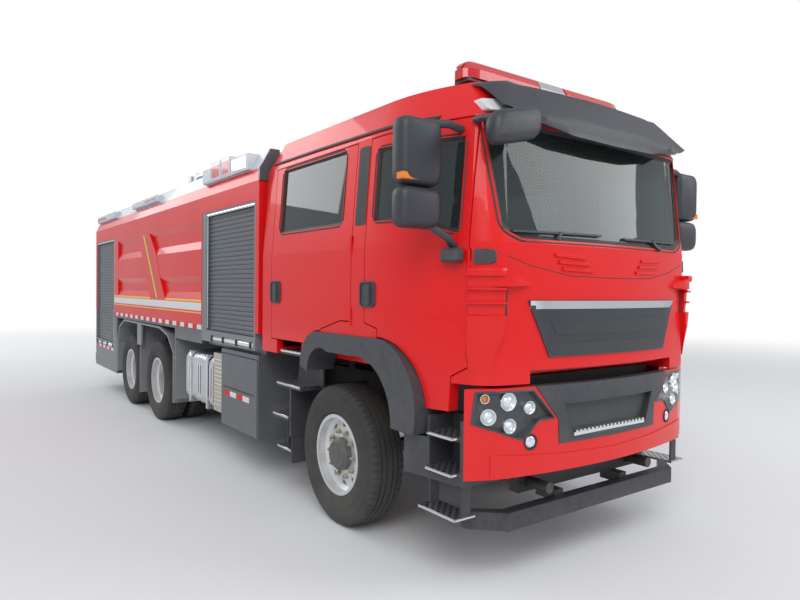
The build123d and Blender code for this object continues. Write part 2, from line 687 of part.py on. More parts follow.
with BuildPart() as rear_steps:
    for front, rear, top, outer in rear_treads:
        add(box((1012, outer), (axle_1 + front, axle_1 + rear), (top - 30, top)))
    add(side_prism(shifted(((420, 1240), (810, 1240), (930, 670), (650, 670), (650, 900), (420, 935)), y=axle_1),
                   (1012, 1030)))
    add(box((850, 1215), (axle_1 + 625, axle_1 + 650), (540, 940)))
    add(box((870, 1200), (axle_1 + 632, axle_1 + 640), (316, 545)))
    add(box((frame_half_width + seat_gap, 1020), (axle_1 + 700, axle_1 + 780), (840, 920)))
    add(box((1000, 1190), (axle_1 + 660, axle_1 + 900), (405, 420)))
    for y in (700, 860):
        add(box((1040, 1120), (axle_1 + y, axle_1 + y + 12), (405, 680)))
steps = list(both_sides(front_steps.part).solids()) + list(both_sides(rear_steps.part).solids())
write(Compound(children=steps), "cab_steps")

# Body structure on a subframe: front locker, water tank block and pump room
core = 1170
core_top = crease_height - 1
skirt_height = 1290
pod_inner = 480
pod_depth = 200
pod_floor = 830
skin_x = 1245
fender_top = 1268
skirt_bottom = 390
shutter_foot = 773
deck_half_width = 1110
locker_y = (body_front, tank_front - seat_gap)
tank_y = (tank_front, tank_rear)
pump_y = (tank_rear + seat_gap, body_rear)
rear_opening = ((-600, 1190), (-600, 2480), (600, 2480), (600, 1190))
with BuildPart() as front_locker:
    add(box((-core, core), locker_y, (body_floor, core_top)))
    add(box((-deck_half_width, deck_half_width), locker_y, (core_top - 10, deck_height)))
    add(box((-past, past), (locker_y[0] + body_wall, locker_y[1] - body_wall),
            (body_floor + body_wall, core_top - body_wall)), mode=Mode.SUBTRACT)
write(front_locker.part, "front_locker")
with BuildPart() as tank_body:
    add(box((-core, core), tank_y, (skirt_height, core_top)))
    add(box((-deck_half_width, deck_half_width), tank_y, (core_top - 10, deck_height)))
    for sign in (1, -1):
        low = sorted((sign * rail_x[0], sign * rail_x[1]))
        add(box(low, (body_front + 100, tank_rear), (frame_top + seat_gap, body_floor - seat_gap)))
        add(box(low, tank_y, (body_floor - 50, skirt_height + 10)))
        skin = sorted((sign * (core - 80), sign * skin_x))
        add(box(skin, tank_y, (fender_top, skirt_height + 9)))
        add(box(skin, (tank_front, tank_front + 950), (body_floor, skirt_height + 9)))
write(tank_body.part, "tank_body")
with BuildPart() as pump_room:
    add(box((-core, core), pump_y, (frame_top + seat_gap, core_top)))
    add(box((-deck_half_width, deck_half_width), pump_y, (core_top - 10, deck_height)))
    for sign in (1, -1):
        pod = sorted((sign * pod_inner, sign * core))
        skin = sorted((sign * (core - 80), sign * skin_x))
        add(box(pod, (tank_rear - pod_depth, body_rear), (skirt_bottom, fender_top - seat_gap)))
        add(box(skin, (tank_rear - pod_depth, pump_y[0]), (skirt_bottom, fender_top - seat_gap)))
        add(box(skin, pump_y, (skirt_bottom, shutter_foot - seat_gap)))
        add(box(skin, (body_rear - 90, body_rear), (700, 1344)))
    add(box((-past, past), (pump_y[0] + body_wall, body_rear - body_wall),
            (body_floor + body_wall, core_top - body_wall)), mode=Mode.SUBTRACT)
    for sign in (1, -1):
        pod = sorted((sign * (pod_inner + body_wall), sign * past))
        add(box(pod, (pump_y[0] + body_wall, body_rear - body_wall), (pod_floor, 1300)), mode=Mode.SUBTRACT)
    add(front_prism(rear_opening, (body_rear - 100, body_rear + 10)), mode=Mode.SUBTRACT)
write(pump_room.part, "pump_room")

# Red side panels: front view of the left one, cut to its outline in side view
panel_section = ((body_half_width, panel_bottom), (body_half_width, crease_height), (1200, band_top),
                 (1130, band_top), (core + seat_gap, crease_height), (core + seat_gap, panel_bottom))
locker_head = 2543
pump_head = 2520
panel_side = ((body_front, band_top + 5), (body_front, 1349), (body_front + 74, 1349),
              (body_front + 74, locker_head), (tank_front, locker_head), (tank_front, panel_bottom - 5),
              (tank_rear, panel_bottom - 5), (tank_rear, pump_head), (body_rear - 90, pump_head),
              (body_rear - 90, 1345), (body_rear, 1345), (body_rear, band_top + 5))
side_panel = front_prism(panel_section, (body_front, body_rear)) & side_prism(panel_side, (core - 60, past))
# Columns: heights of the outer edge, inner edge, inner edge and outer edge of each long recess
recess_depth = 35
for bands in ((1610, 1700, 1810, 1880), (2165, 2255, 2400, 2465)):
    channel = ((body_half_width + 1, bands[0]), (body_half_width - recess_depth, bands[1]),
               (body_half_width - recess_depth, bands[2]), (body_half_width + 1, bands[3]))
    side_panel = side_panel - front_prism(channel, (tank_front + 20, tank_rear - 260))
write(both_sides(side_panel), "side_panels")

# Shutter frames and roller shutters. Columns: Y range, Z range, frame widths at front, rear, bottom and top
frame_depth_in = (core + seat_gap, body_half_width - 4)
slat_height = 45
slat_depth = 8
side_frames = (((body_front + 74 + seat_gap, tank_front - seat_gap), (1190, locker_head - seat_gap), 34, 139, 118, 38),
               ((tank_rear + seat_gap, body_rear - 90 - seat_gap), (shutter_foot, pump_head - seat_gap),
                40, 15, 82, 40))


def slatted(outer, low, high, inner):
    """Side or rear profile of a shutter with one shallow ridge per slat."""
    count = round((high - low) / slat_height)
    pitch = (high - low) / count
    points = [(inner, low)]
    for slat in range(count):
        base = low + slat * pitch
        points += [(outer - slat_depth, base), (outer, base + 8), (outer, base + pitch - 12),
                   (outer - slat_depth, base + pitch - 4)]
    return points + [(outer - slat_depth, high), (inner, high)]


frames = []
shutters = []
for y, z, front, rear, low, top in side_frames:
    ring = box(frame_depth_in, y, z) - box((core - 10, past), (y[0] + front, y[1] - rear), (z[0] + low, z[1] - top))
    shutter_y = (y[0] + front + seat_gap, y[1] - rear - seat_gap)
    profile = slatted(body_half_width - 28, z[0] + low + seat_gap, z[1] - top - seat_gap, core + 20)
    frames += list(both_sides(ring).solids())
    shutters += list(both_sides(front_prism(profile, shutter_y)).solids())
rear_profile = slatted(body_rear - 15, 1190 + seat_gap, 2480 - seat_gap, body_rear - 45)
shutters += [side_prism(rear_profile, (-600 + seat_gap, 600 - seat_gap))]
write(Compound(children=frames), "shutter_frames")
write(Compound(children=shutters), "roller_shutters")

# Parapet round the roof deck and its front caps
rail_section = ((1200, band_top + seat_gap), (1130, parapet_top), (1105, parapet_top), (1112, deck_height + 5),
                (1130, deck_height + 5), (1130, band_top + seat_gap))
with BuildPart() as roof_rails:
    for sign in (1, -1):
        add(front_prism([(sign * x, z) for x, z in rail_section], (body_front, body_rear)))
    for y in (body_front, body_rear - 30):
        add(box((-1125, 1125), (y, y + 30), (deck_height + seat_gap, parapet_top - 10)))
write(roof_rails.part, "roof_rails")

# Roof lamps along both sides. Columns: Y range behind the front axle, lowest and highest
roof_lamp_table = ((1500, 1900, 2850, 3000), (1930, 2150, 2850, 3040), (2180, 2440, 2850, 3040),
                   (2460, 2700, 2850, 3000), (4460, 5000, 2870, 2950), (5040, 5700, 2870, 2950),
                   (6800, 7400, 2850, 2950), (7440, 8100, 2850, 2950))
lamp_pieces = []
for front, rear, low, high in roof_lamp_table:
    block = box((1100, 1240), (axle_1 + front, axle_1 + rear), (low, high))
    lamp_pieces.append(block - front_prism(((1200.5, 2800), (1200.5, band_top), (1130.5, parapet_top), (1090, parapet_top + seat_gap),
                                            (1090, 2800)), (body_front, body_rear)))
lamps_left = [max(piece.solids(), key=lambda solid: solid.volume) for piece in lamp_pieces]
write(Compound(children=lamps_left + [other_side(piece) for piece in lamps_left]), "roof_lamps")

# Rear fenders
fender_wall = 25
fender_outer = ((3688, 360), (3688, 974), (3935, 1174), (4285, 1250), (6150, 1262), (6460, 1150), (6570, 900),
                (6570, 440))
fender_inner = ((6545, 440), (6545, 890), (6435, 1130), (6140, 1237), (4290, 1225), (3950, 1150), (3715, 965),
                (3715, 360))
with BuildPart() as rear_fender:
    add(side_prism(shifted(fender_outer + fender_inner, y=axle_1), (830, 1245)))
    add(box((870, 1225), (axle_1 + 5290, axle_1 + 5310), (270, 1240)))
    add(box((1215, 1240), (axle_1 + 5190, axle_1 + 5400), (940, 1240)))
    add(box((700, 1240), (axle_1 + 3625, axle_1 + 3640), (410, body_floor - seat_gap)))
    add(box((1000, 1240), (axle_1 + 3625, axle_1 + 3700), (900, 915)))
    for y in (4500, 5900):
        add(box((frame_half_width + seat_gap, 840), (axle_1 + y, axle_1 + y + 40), (1228, 1252)))
        add(box((frame_half_width + seat_gap, frame_half_width + 30), (axle_1 + y, axle_1 + y + 40), (960, 1252)))
write(both_sides(rear_fender.part), "rear_fenders")

# Fuel tank, exhaust box and left air tanks on the frame
with BuildPart() as fuel_tank:
    add(box((-1200, -700), (axle_1 + 2460, axle_1 + 3340), (460, 1030)))
    fillet(fuel_tank.edges().filter_by(Axis.Y), 110)
    for y in (2600, 3150):
        add(box((-1206, -694), (axle_1 + y, axle_1 + y + 60), (454, 1036)))
    for y in (2600, 3150):
        add(box((-720, -frame_half_width - seat_gap), (axle_1 + y, axle_1 + y + 60), (780, 860)))
write(fuel_tank.part, "fuel_tank")
with BuildPart() as exhaust_box:
    add(box((-1210, -640), (axle_1 + 2130, axle_1 + 2416), (480, 1080)))
    add(box((-650, -frame_half_width - seat_gap), (axle_1 + 2200, axle_1 + 2300), (780, 860)))
write(exhaust_box.part, "exhaust_box")
with BuildPart() as air_tanks:
    for z in (600, 900):
        with BuildSketch(Plane(origin=(1000, axle_1 + 2150, z), x_dir=(1, 0, 0), z_dir=(0, 1, 0))):
            Circle(130)
        extrude(amount=1150)
    for y in (2400, 3050):
        add(box((frame_half_width + seat_gap, 1000), (axle_1 + y, axle_1 + y + 50), (580, 920)))
write(air_tanks.part, "air_tanks")

# Lower lockers with their fold-down step flaps
flap_wall = 25
lower_y = (axle_1 + 1220, axle_1 + 2115)
flap_y = (lower_y[0] + 20, lower_y[1] - 20)
flap_z = (405, 1105)
flap_hinge = (1230, 420)
flap_pin = 6
with BuildPart() as lower_locker:
    add(box((700, 1240), lower_y, (skirt_bottom, body_floor - seat_gap)))
    add(box((740, past), (flap_y[0] - 6, flap_y[1] + 6), (skirt_bottom + 40, flap_z[1] + 6)), mode=Mode.SUBTRACT)
    add(box((1200, past), (flap_y[0] - 6, flap_y[1] + 6), (skirt_bottom - 5, flap_z[1] + 6)), mode=Mode.SUBTRACT)
    with BuildSketch(Plane.XZ.offset(-lower_y[0])):
        with Locations(flap_hinge):
            Circle(flap_pin + running_gap)
    extrude(amount=-(lower_y[1] - lower_y[0]), mode=Mode.SUBTRACT)
write(both_sides(lower_locker.part), "lower_lockers")
with BuildPart() as step_flap:
    add(box((1240 - flap_wall, 1245), flap_y, flap_z))
    with BuildSketch(Plane.XZ.offset(-(flap_y[0] - 18))):
        with Locations(flap_hinge):
            Circle(flap_pin)
    extrude(amount=-(flap_y[1] - flap_y[0] + 36))
flap = step_flap.part
write(flap, "step_flap_left")
write(other_side(flap), "step_flap_right")

# Rear under-run bar on the frame's ends, and the roof ladder
with BuildPart() as rear_bar:
    add(box((-1240, 1240), (body_rear + seat_gap, tail_y), (430, 570)))
    for sign in (1, -1):
        low = sorted((sign * rail_x[0], sign * rail_x[1]))
        add(box(low, (frame_rear + seat_gap, body_rear + 20), (430, frame_top - 20)))
write(Compound(children=list(underrun_bar.part.solids()) + list(rear_bar.part.solids())), "underrun_bars")
ladder_x = (760, 1120)
with BuildPart() as rear_ladder:
    for x in ladder_x:
        add(post(x, body_rear + 45, (640, parapet_top - 10), 15))
        for z in (700, 1500, 2300, 2960):
            add(box((x - 10, x + 10), (body_rear + seat_gap, body_rear + 40), (z, z + 30)))
    for rung in range(8):
        add(cross_bar(ladder_x, body_rear + 45, 760 + rung * 290, 12))
write(rear_ladder.part, "rear_ladder")

# Roof monitor on its pedestal
monitor_y = axle_1 + 6700
pivot_z = 3560
yoke_z = (pivot_z - 215, pivot_z - 175)
with BuildPart() as monitor_swivel:
    add(post(0, monitor_y, (deck_height + seat_gap, yoke_z[0] + 20), 70))
    add(post(0, monitor_y, (deck_height + seat_gap, deck_height + 30), 160))
    for sign in (1, -1):
        low = sorted((sign * 65, sign * 90))
        add(box(low, (monitor_y - 60, monitor_y + 60), (yoke_z[0], pivot_z + 60)))
    add(box((-90, 90), (monitor_y - 60, monitor_y + 60), yoke_z))
    add(cross_bar((-80, 80), monitor_y, pivot_z, 18))
write(monitor_swivel.part, "monitor_swivel")
barrel_path = Plane(origin=(0, monitor_y - 1150, pivot_z + 20), x_dir=(1, 0, 0), z_dir=(0, 1, 0))
with BuildPart() as monitor_barrel:
    with BuildSketch(barrel_path):
        Circle(45)
    with BuildSketch(barrel_path.offset(900)):
        Circle(60)
    loft()
    add(box((-60, 60), (monitor_y - 260, monitor_y + 150), (pivot_z - 60, pivot_z + 90)))
    add(cross_bar((-100, 100), monitor_y, pivot_z, 18 + running_gap), mode=Mode.SUBTRACT)
write(monitor_barrel.part, "monitor_barrel")
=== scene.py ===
import math

import bmesh
import bpy
from mathutils import Matrix, Vector
from mathutils.bvhtree import BVHTree


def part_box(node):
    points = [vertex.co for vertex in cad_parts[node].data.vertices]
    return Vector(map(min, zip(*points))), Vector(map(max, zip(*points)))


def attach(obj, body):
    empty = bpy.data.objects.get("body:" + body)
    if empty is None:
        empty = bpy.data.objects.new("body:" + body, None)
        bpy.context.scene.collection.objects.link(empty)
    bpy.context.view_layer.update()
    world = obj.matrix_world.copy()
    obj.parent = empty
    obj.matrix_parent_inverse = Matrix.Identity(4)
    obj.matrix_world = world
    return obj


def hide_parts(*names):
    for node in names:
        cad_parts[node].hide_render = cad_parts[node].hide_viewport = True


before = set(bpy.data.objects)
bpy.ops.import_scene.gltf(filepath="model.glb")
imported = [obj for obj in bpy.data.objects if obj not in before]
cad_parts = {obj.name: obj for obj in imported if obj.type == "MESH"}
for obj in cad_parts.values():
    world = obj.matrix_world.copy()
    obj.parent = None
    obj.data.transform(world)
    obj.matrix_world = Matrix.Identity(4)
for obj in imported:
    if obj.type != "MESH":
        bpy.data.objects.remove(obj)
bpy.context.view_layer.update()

tyre_radius = 0.52
front_axle_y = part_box("front_tyre_left")[0].y + tyre_radius
# Columns: name and direction of each side of the truck
sides = (("left", 1), ("right", -1))


# Ground, light and camera
# A plain pale studio floor that runs out to white, three broad soft lamps and the lens that the truck
# was seen through, standing a little ahead of its front right corner at eye height.
def feed(tree, sockets, **feeds):
    """Inputs found by name, with _ for a space, each linked to a socket or set to a number or colour."""
    for label, value in feeds.items():
        socket = sockets[label.replace("_", " ")]
        if isinstance(value, bpy.types.NodeSocket):
            tree.links.new(value, socket)
        else:
            socket.default_value = value if isinstance(value, (int, float)) else (*value[:3], 1)


def add_node(tree, kind, settings=None, **feeds):
    """A shader node with its settings, and its inputs fed by name."""
    node = tree.nodes.new("ShaderNode" + kind)
    for label, value in (settings or {}).items():
        setattr(node, label, value)
    feed(tree, node.inputs, **feeds)
    return node


def math_step(tree, operation, *values, clamp=False):
    """The result of one Math node, fed by sockets or plain numbers."""
    step = add_node(tree, "Math", {"operation": operation, "use_clamp": clamp})
    for socket, value in zip(step.inputs, values):
        if isinstance(value, bpy.types.NodeSocket):
            tree.links.new(value, socket)
        else:
            socket.default_value = value
    return step.outputs[0]


def straight_rays(tree):
    """1 for what is seen straight or through glass, 0 for what only lights or mirrors."""
    ray = add_node(tree, "LightPath").outputs
    return math_step(tree, "ADD", ray["Is Camera Ray"], ray["Is Transmission Ray"], clamp=True)


def shader_mix(tree, amount, first, second):
    """Two shaders mixed by an amount."""
    mixed = add_node(tree, "MixShader")
    for socket, source in zip(mixed.inputs, (amount, first.outputs[0], second.outputs[0])):
        tree.links.new(source, socket)
    return mixed.outputs[0]


def linked(name, data):
    """A new object in the scene."""
    thing = bpy.data.objects.new(name, data)
    bpy.context.scene.collection.objects.link(thing)
    return thing


floor_half, white_from, white_at = 60, 8.0, 24.0
studio_floor = bpy.data.meshes.new("studio_floor")
studio_floor.from_pydata([(x * floor_half, y * floor_half, 0) for x, y in ((-1, -1), (1, -1), (1, 1), (-1, 1))],
                         [], [(0, 1, 2, 3)])
floor_piece = linked("studio_floor", studio_floor)
floor_paint = bpy.data.materials.new("studio_floor_paint")
floor_paint.use_nodes = True
tree = floor_paint.node_tree
tree.nodes.clear()
reach = add_node(tree, "VectorMath", {"operation": "LENGTH"}, Vector=add_node(tree, "TexCoord").outputs["Object"])
fade = add_node(tree, "MapRange", {"interpolation_type": "SMOOTHSTEP"}, Value=reach.outputs["Value"],
                From_Min=white_from, From_Max=white_at)
whiteness = math_step(tree, "MULTIPLY", fade.outputs["Result"], straight_rays(tree))
matt = add_node(tree, "BsdfDiffuse", Color=(0.78, 0.79, 0.8))
white = add_node(tree, "Emission", Color=(1, 1, 1))
add_node(tree, "OutputMaterial", Surface=shader_mix(tree, whiteness, matt, white))
studio_floor.materials.append(floor_paint)

studio_air = bpy.data.worlds.new("studio_air")
bpy.context.scene.world = studio_air
studio_air.use_nodes = True
tree = studio_air.node_tree
tree.nodes.clear()
soft_light = add_node(tree, "Background", Color=(0.93, 0.96, 1.0), Strength=0.62)
backdrop = add_node(tree, "Background", Color=(1, 1, 1))
add_node(tree, "OutputWorld", Surface=shader_mix(tree, straight_rays(tree), soft_light, backdrop))

# Columns: name, where it stands, what it is aimed at, width, power
for lamp_name, stand, aim, width, power in (("front_right_lamp", (-9, -13, 11), (0, -2, 1.4), 9, 1150),
                                            ("front_left_lamp", (9, -12, 9), (0, -3, 1.4), 8, 600),
                                            ("rear_lamp", (-6, 14, 10), (0, 2, 1.5), 9, 700)):
    soft_box = bpy.data.lights.new(lamp_name, "AREA")
    soft_box.shape = "SQUARE"
    soft_box.size = width
    soft_box.energy = power
    holder = linked(lamp_name, soft_box)
    holder.location = stand
    holder.rotation_euler = (Vector(aim) - Vector(stand)).to_track_quat("-Z", "Y").to_euler()

focal_px, photo_width_px, sensor_mm = 636.1, 800, 36
camera_x, camera_y, camera_z = -3.573, -4.082 + front_axle_y, 1.753
yaw, pitch, roll = (math.radians(angle) for angle in (36.26, -0.92, 0.63))
look = Vector((math.sin(yaw) * math.cos(pitch), math.cos(yaw) * math.cos(pitch), math.sin(pitch)))
level = Vector((math.cos(yaw), -math.sin(yaw), 0))
across = math.cos(roll) * level + math.sin(roll) * level.cross(look)
upward = across.cross(look)
lens = bpy.data.cameras.new("photo_lens")
lens.sensor_width = sensor_mm
lens.lens = focal_px * sensor_mm / photo_width_px
lens.clip_end = 300
camera = linked("photo_camera", lens)
camera.matrix_world = Matrix(((across.x, upward.x, -look.x, camera_x), (across.y, upward.y, -look.y, camera_y),
                              (across.z, upward.z, -look.z, camera_z), (0, 0, 0, 1)))
bpy.context.scene.camera = camera
bpy.context.scene.view_settings.view_transform = "Standard"


# Chassis frame, axles and underrun bars
# Pressed steel rails with cast axles, painted black together. Road dust sits on everything low down,
# so the same dust effect is used on the wheels and the body above.
def group_of(name, outputs, **inputs):
    """A node group: its tree, what it takes in (by name, with _ for a space) and what it gives out."""
    tree = bpy.data.node_groups.new(name, "ShaderNodeTree")
    for label, default in inputs.items():
        kind = "Float" if isinstance(default, float) else "Color" if len(default) == 4 else "Vector"
        socket = tree.interface.new_socket(label.replace("_", " "), in_out="INPUT", socket_type=f"NodeSocket{kind}")
        socket.default_value = default
    for label in outputs:
        kind = "Color" if label == "Color" else "Float"
        tree.interface.new_socket(label, in_out="OUTPUT", socket_type=f"NodeSocket{kind}")
    return tree, tree.nodes.new("NodeGroupInput").outputs, tree.nodes.new("NodeGroupOutput").inputs


def placed_group(tree, group, **feeds):
    """What a node group gives out in a material, its inputs fed by name."""
    return add_node(tree, "Group", {"node_tree": group}, **feeds).outputs


def colour_mix(tree, amount, first, second, blend_type="MIX"):
    """One colour Mix node, fed by sockets or plain colours."""
    mixed = add_node(tree, "Mix", {"data_type": "RGBA", "blend_type": blend_type})
    for socket, value in zip([socket for socket in mixed.inputs if socket.enabled], (amount, first, second)):
        if isinstance(value, bpy.types.NodeSocket):
            tree.links.new(value, socket)
        else:
            socket.default_value = (*value[:3], 1)
    return next(socket for socket in mixed.outputs if socket.enabled)


def object_noise(tree, scale, detail=2.0):
    """A noise on the object's own coordinates."""
    where = add_node(tree, "TexCoord").outputs["Object"]
    return add_node(tree, "TexNoise", Vector=where, Scale=scale, Detail=detail).outputs["Fac"]


def object_axes(tree):
    """The object's own coordinates, by axis."""
    return add_node(tree, "SeparateXYZ", Vector=add_node(tree, "TexCoord").outputs["Object"]).outputs


# road_dust: pale dust that settles from the ground up, broken up by noise
tree, taken, given = group_of("road_dust", ("Color", "Mask"), Color=(0.5, 0.5, 0.5, 1),
                              Dust_Color=(0.42, 0.39, 0.34, 1), Reach=1.1, Amount=0.3)
road_dust = tree
height_share = math_step(tree, "DIVIDE", object_axes(tree)["Z"], taken["Reach"])
low_share = math_step(tree, "SUBTRACT", 1.0, height_share, clamp=True)
broken = math_step(tree, "MULTIPLY", low_share, object_noise(tree, 4.0, 6.0))
dust_mask = math_step(tree, "MULTIPLY", broken, taken["Amount"], clamp=True)
feed(tree, given, Color=colour_mix(tree, dust_mask, taken["Color"], taken["Dust Color"]), Mask=dust_mask)

# fine_grain: the small pits of moulded plastic, castings or rubber, and a faint unevenness of tone
tree, taken, given = group_of("fine_grain", ("Color", "Roughness", "Height"), Color=(0.05, 0.05, 0.05, 1),
                              Scale=900.0, Unevenness=0.25, Roughness=0.6)
fine_grain = tree
pits = add_node(tree, "TexVoronoi", Vector=add_node(tree, "TexCoord").outputs["Object"], Scale=taken["Scale"])
patches = object_noise(tree, 3.5, 8.0)
tone = math_step(tree, "MULTIPLY", patches, taken["Unevenness"])
ruffled = math_step(tree, "MULTIPLY_ADD", patches, 0.16, -0.08)
feed(tree, given, Color=colour_mix(tree, tone, taken["Color"], taken["Color"], "ADD"),
     Roughness=math_step(tree, "ADD", taken["Roughness"], ruffled, clamp=True), Height=pits.outputs["Distance"])

# edge_wear: a worn, paler line where a surface turns sharply
tree, taken, given = group_of("edge_wear", ("Color", "Mask"), Color=(0.05, 0.05, 0.05, 1),
                              Worn_Color=(0.3, 0.3, 0.3, 1), Amount=0.5)
edge_wear = tree
sharp = add_node(tree, "MapRange", Value=add_node(tree, "NewGeometry").outputs["Pointiness"],
                 From_Min=0.53, From_Max=0.62)
chipped = math_step(tree, "MULTIPLY", sharp.outputs["Result"], object_noise(tree, 22.0))
worn_mask = math_step(tree, "MULTIPLY", chipped, taken["Amount"], clamp=True)
feed(tree, given, Color=colour_mix(tree, worn_mask, taken["Color"], taken["Worn Color"]), Mask=worn_mask)


def finish_of(name, metallic=0.0, coat=0.0, specular=0.5):
    """A new material with its tree and its Principled shader, its even values set on the shader itself."""
    made = bpy.data.materials.new(name)
    made.use_nodes = True
    shader = made.node_tree.nodes["Principled BSDF"]
    feed(made.node_tree, shader.inputs, Metallic=metallic, Coat_Weight=coat, Coat_Roughness=0.04,
         Specular_IOR_Level=specular)
    return made, made.node_tree, shader


def bumped(tree, shader, height, strength, depth):
    """A Bump node that feeds the shader's Normal."""
    bump = add_node(tree, "Bump", Strength=strength, Distance=depth, Height=height)
    feed(tree, shader.inputs, Normal=bump.outputs["Normal"])


def grained_finish(name, colour, roughness, grain=900.0, depth=0.0004, worn=(0.3, 0.3, 0.3), wear=0.3,
                   dust=0.3, dust_reach=1.1, metallic=0.0, coat=0.0, uneven=0.25):
    """Painted casting, moulded plastic or rubber: grain, worn edges and dust."""
    made, tree, shader = finish_of(name, metallic, coat)
    grained = placed_group(tree, fine_grain, Color=colour, Scale=grain, Unevenness=uneven, Roughness=roughness)
    rubbed = placed_group(tree, edge_wear, Color=grained["Color"], Worn_Color=worn, Amount=wear)
    soiled = placed_group(tree, road_dust, Color=rubbed["Color"], Reach=dust_reach, Amount=dust)
    feed(tree, shader.inputs, Base_Color=soiled["Color"], Roughness=grained["Roughness"])
    bumped(tree, shader, grained["Height"], 0.35, depth)
    return made


def pair(name):
    """The names of a left and a right CAD node."""
    return f"{name}_left", f"{name}_right"


def dress(finish, *node_names):
    """The finish on the CAD nodes' own material slots."""
    for node_name in node_names:
        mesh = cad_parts[node_name].data
        mesh.materials.clear()
        mesh.materials.append(finish)


chassis_black = grained_finish("chassis_black", (0.018, 0.019, 0.022), 0.5, grain=600, dust=0.16, wear=0.3)
bar_black = grained_finish("bar_black", (0.012, 0.013, 0.017), 0.42, grain=700, dust=0.05, wear=0.2)
cast_grey = grained_finish("engine_casting", (0.16, 0.16, 0.17), 0.7, grain=300, dust=0.6, metallic=0.3)
dress(bar_black, "underrun_bars")
dress(chassis_black, "chassis_frame", "axles", "air_tanks", *pair("knuckle"))
dress(cast_grey, "engine_block")


# Wheels
# Pressed steel disc wheels in silver paint with a protruding hub and ten nuts, the rear ones in pairs
# bolted face to face. The paint is dusty, and its hand holes are black patches of painted shade in the dish.
def add_rings(shape, rings, looped=False):
    """Walls between rings of points. The end rings are filled, or the last runs back into the first."""
    rows = [[shape.verts.new(point) for point in ring] for ring in rings]
    pairs = list(zip(rows, rows[1:])) + ([(rows[-1], rows[0])] if looped else [])
    for one, other in pairs:
        for index, corner in enumerate(one):
            after = (index + 1) % len(one)
            shape.faces.new((corner, one[after], other[after], other[index]))
    if not looped:
        shape.faces.new(rows[0][::-1])
        shape.faces.new(rows[-1])


def circle(centre, way, radius, steps):
    """Points round a centre, square to a direction."""
    first = Vector(way).orthogonal().normalized()
    second = Vector(way).normalized().cross(first)
    turns = [math.tau * step / steps for step in range(steps)]
    return [Vector(centre) + radius * (math.cos(turn) * first + math.sin(turn) * second) for turn in turns]


def add_turned(shape, centre, way, profile, steps):
    """A turned shape along a direction, from its profile's depths and radii."""
    add_rings(shape, [circle(Vector(centre) + depth * Vector(way), way, radius, steps) for depth, radius in profile])


def finished(shape, name, finish, body="truck", bend=32):
    """A piece from a bmesh, its faces turned outwards, riding on a body."""
    bmesh.ops.recalc_face_normals(shape, faces=shape.faces)
    mesh = bpy.data.meshes.new(name)
    shape.to_mesh(mesh)
    shape.free()
    mesh.materials.append(finish)
    mesh.shade_smooth()
    mesh.set_sharp_from_angle(angle=math.radians(bend))
    piece = linked(name, mesh)
    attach(piece, body)
    return piece


class Skin:
    """The outside of some CAD nodes seen along one direction, to lay seals, seams and bands on."""
    far_off = 7

    def __init__(self, way, *node_names):
        corners, faces = [], []
        for node_name in node_names:
            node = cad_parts[node_name]
            first = len(corners)
            corners += [node.matrix_world @ vertex.co for vertex in node.data.vertices]
            faces += [[first + index for index in face.vertices] for face in node.data.polygons]
        self.tree = BVHTree.FromPolygons(corners, faces)
        self.way = Vector(way)
        self.depth = self.far_off

    def lay(self, point, lift=0.0):
        """The point moved along the direction onto the skin, then lifted off it."""
        start = Vector(point) - (Vector(point).dot(self.way) + self.far_off) * self.way
        depth = self.tree.ray_cast(start, self.way)[3]
        self.depth = self.depth if depth is None else depth
        return start + (self.depth - lift) * self.way


def side_skin(sign, *node_names):
    """The outside of some CAD nodes seen from one side."""
    return Skin((-sign, 0, 0), *node_names)


def add_patch(shape, skin, outline, rise, sink=0.004, step=0.09):
    """A closed panel with an outline that lies on a skin and stands proud of it."""
    sheet = bmesh.new()
    sheet.faces.new([sheet.verts.new(point) for point in outline])
    for axis in range(3):
        if abs(skin.way[axis]) > 0.5:
            continue
        low, high = min(point[axis] for point in outline), max(point[axis] for point in outline)
        across = Vector([float(place == axis) for place in range(3)])
        count = math.ceil((high - low) / step)
        for number in range(1, count):
            spot = across * (low + (high - low) * number / count)
            bmesh.ops.bisect_plane(sheet, geom=sheet.verts[:] + sheet.edges[:] + sheet.faces[:],
                                   plane_co=spot, plane_no=across)
    sheet.verts.index_update()
    tops = [shape.verts.new(skin.lay(vertex.co, rise)) for vertex in sheet.verts]
    feet = [shape.verts.new(skin.lay(vertex.co, -sink)) for vertex in sheet.verts]
    for face in sheet.faces:
        shape.faces.new([tops[vertex.index] for vertex in face.verts])
        shape.faces.new([feet[vertex.index] for vertex in reversed(face.verts)])
    for edge in sheet.edges:
        if edge.is_boundary:
            one, other = (vertex.index for vertex in edge.verts)
            shape.faces.new((tops[one], tops[other], feet[other], feet[one]))
    sheet.free()


def wheel_place(row, side):
    """The Y and height of a wheel's axle, and how far out its rim's flange lies."""
    low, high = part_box(f"{row}_tyre_{side}")
    return (low.y + high.y) / 2, (low.z + high.z) / 2, max(abs(low.x), abs(high.x)) - tyre_overhang


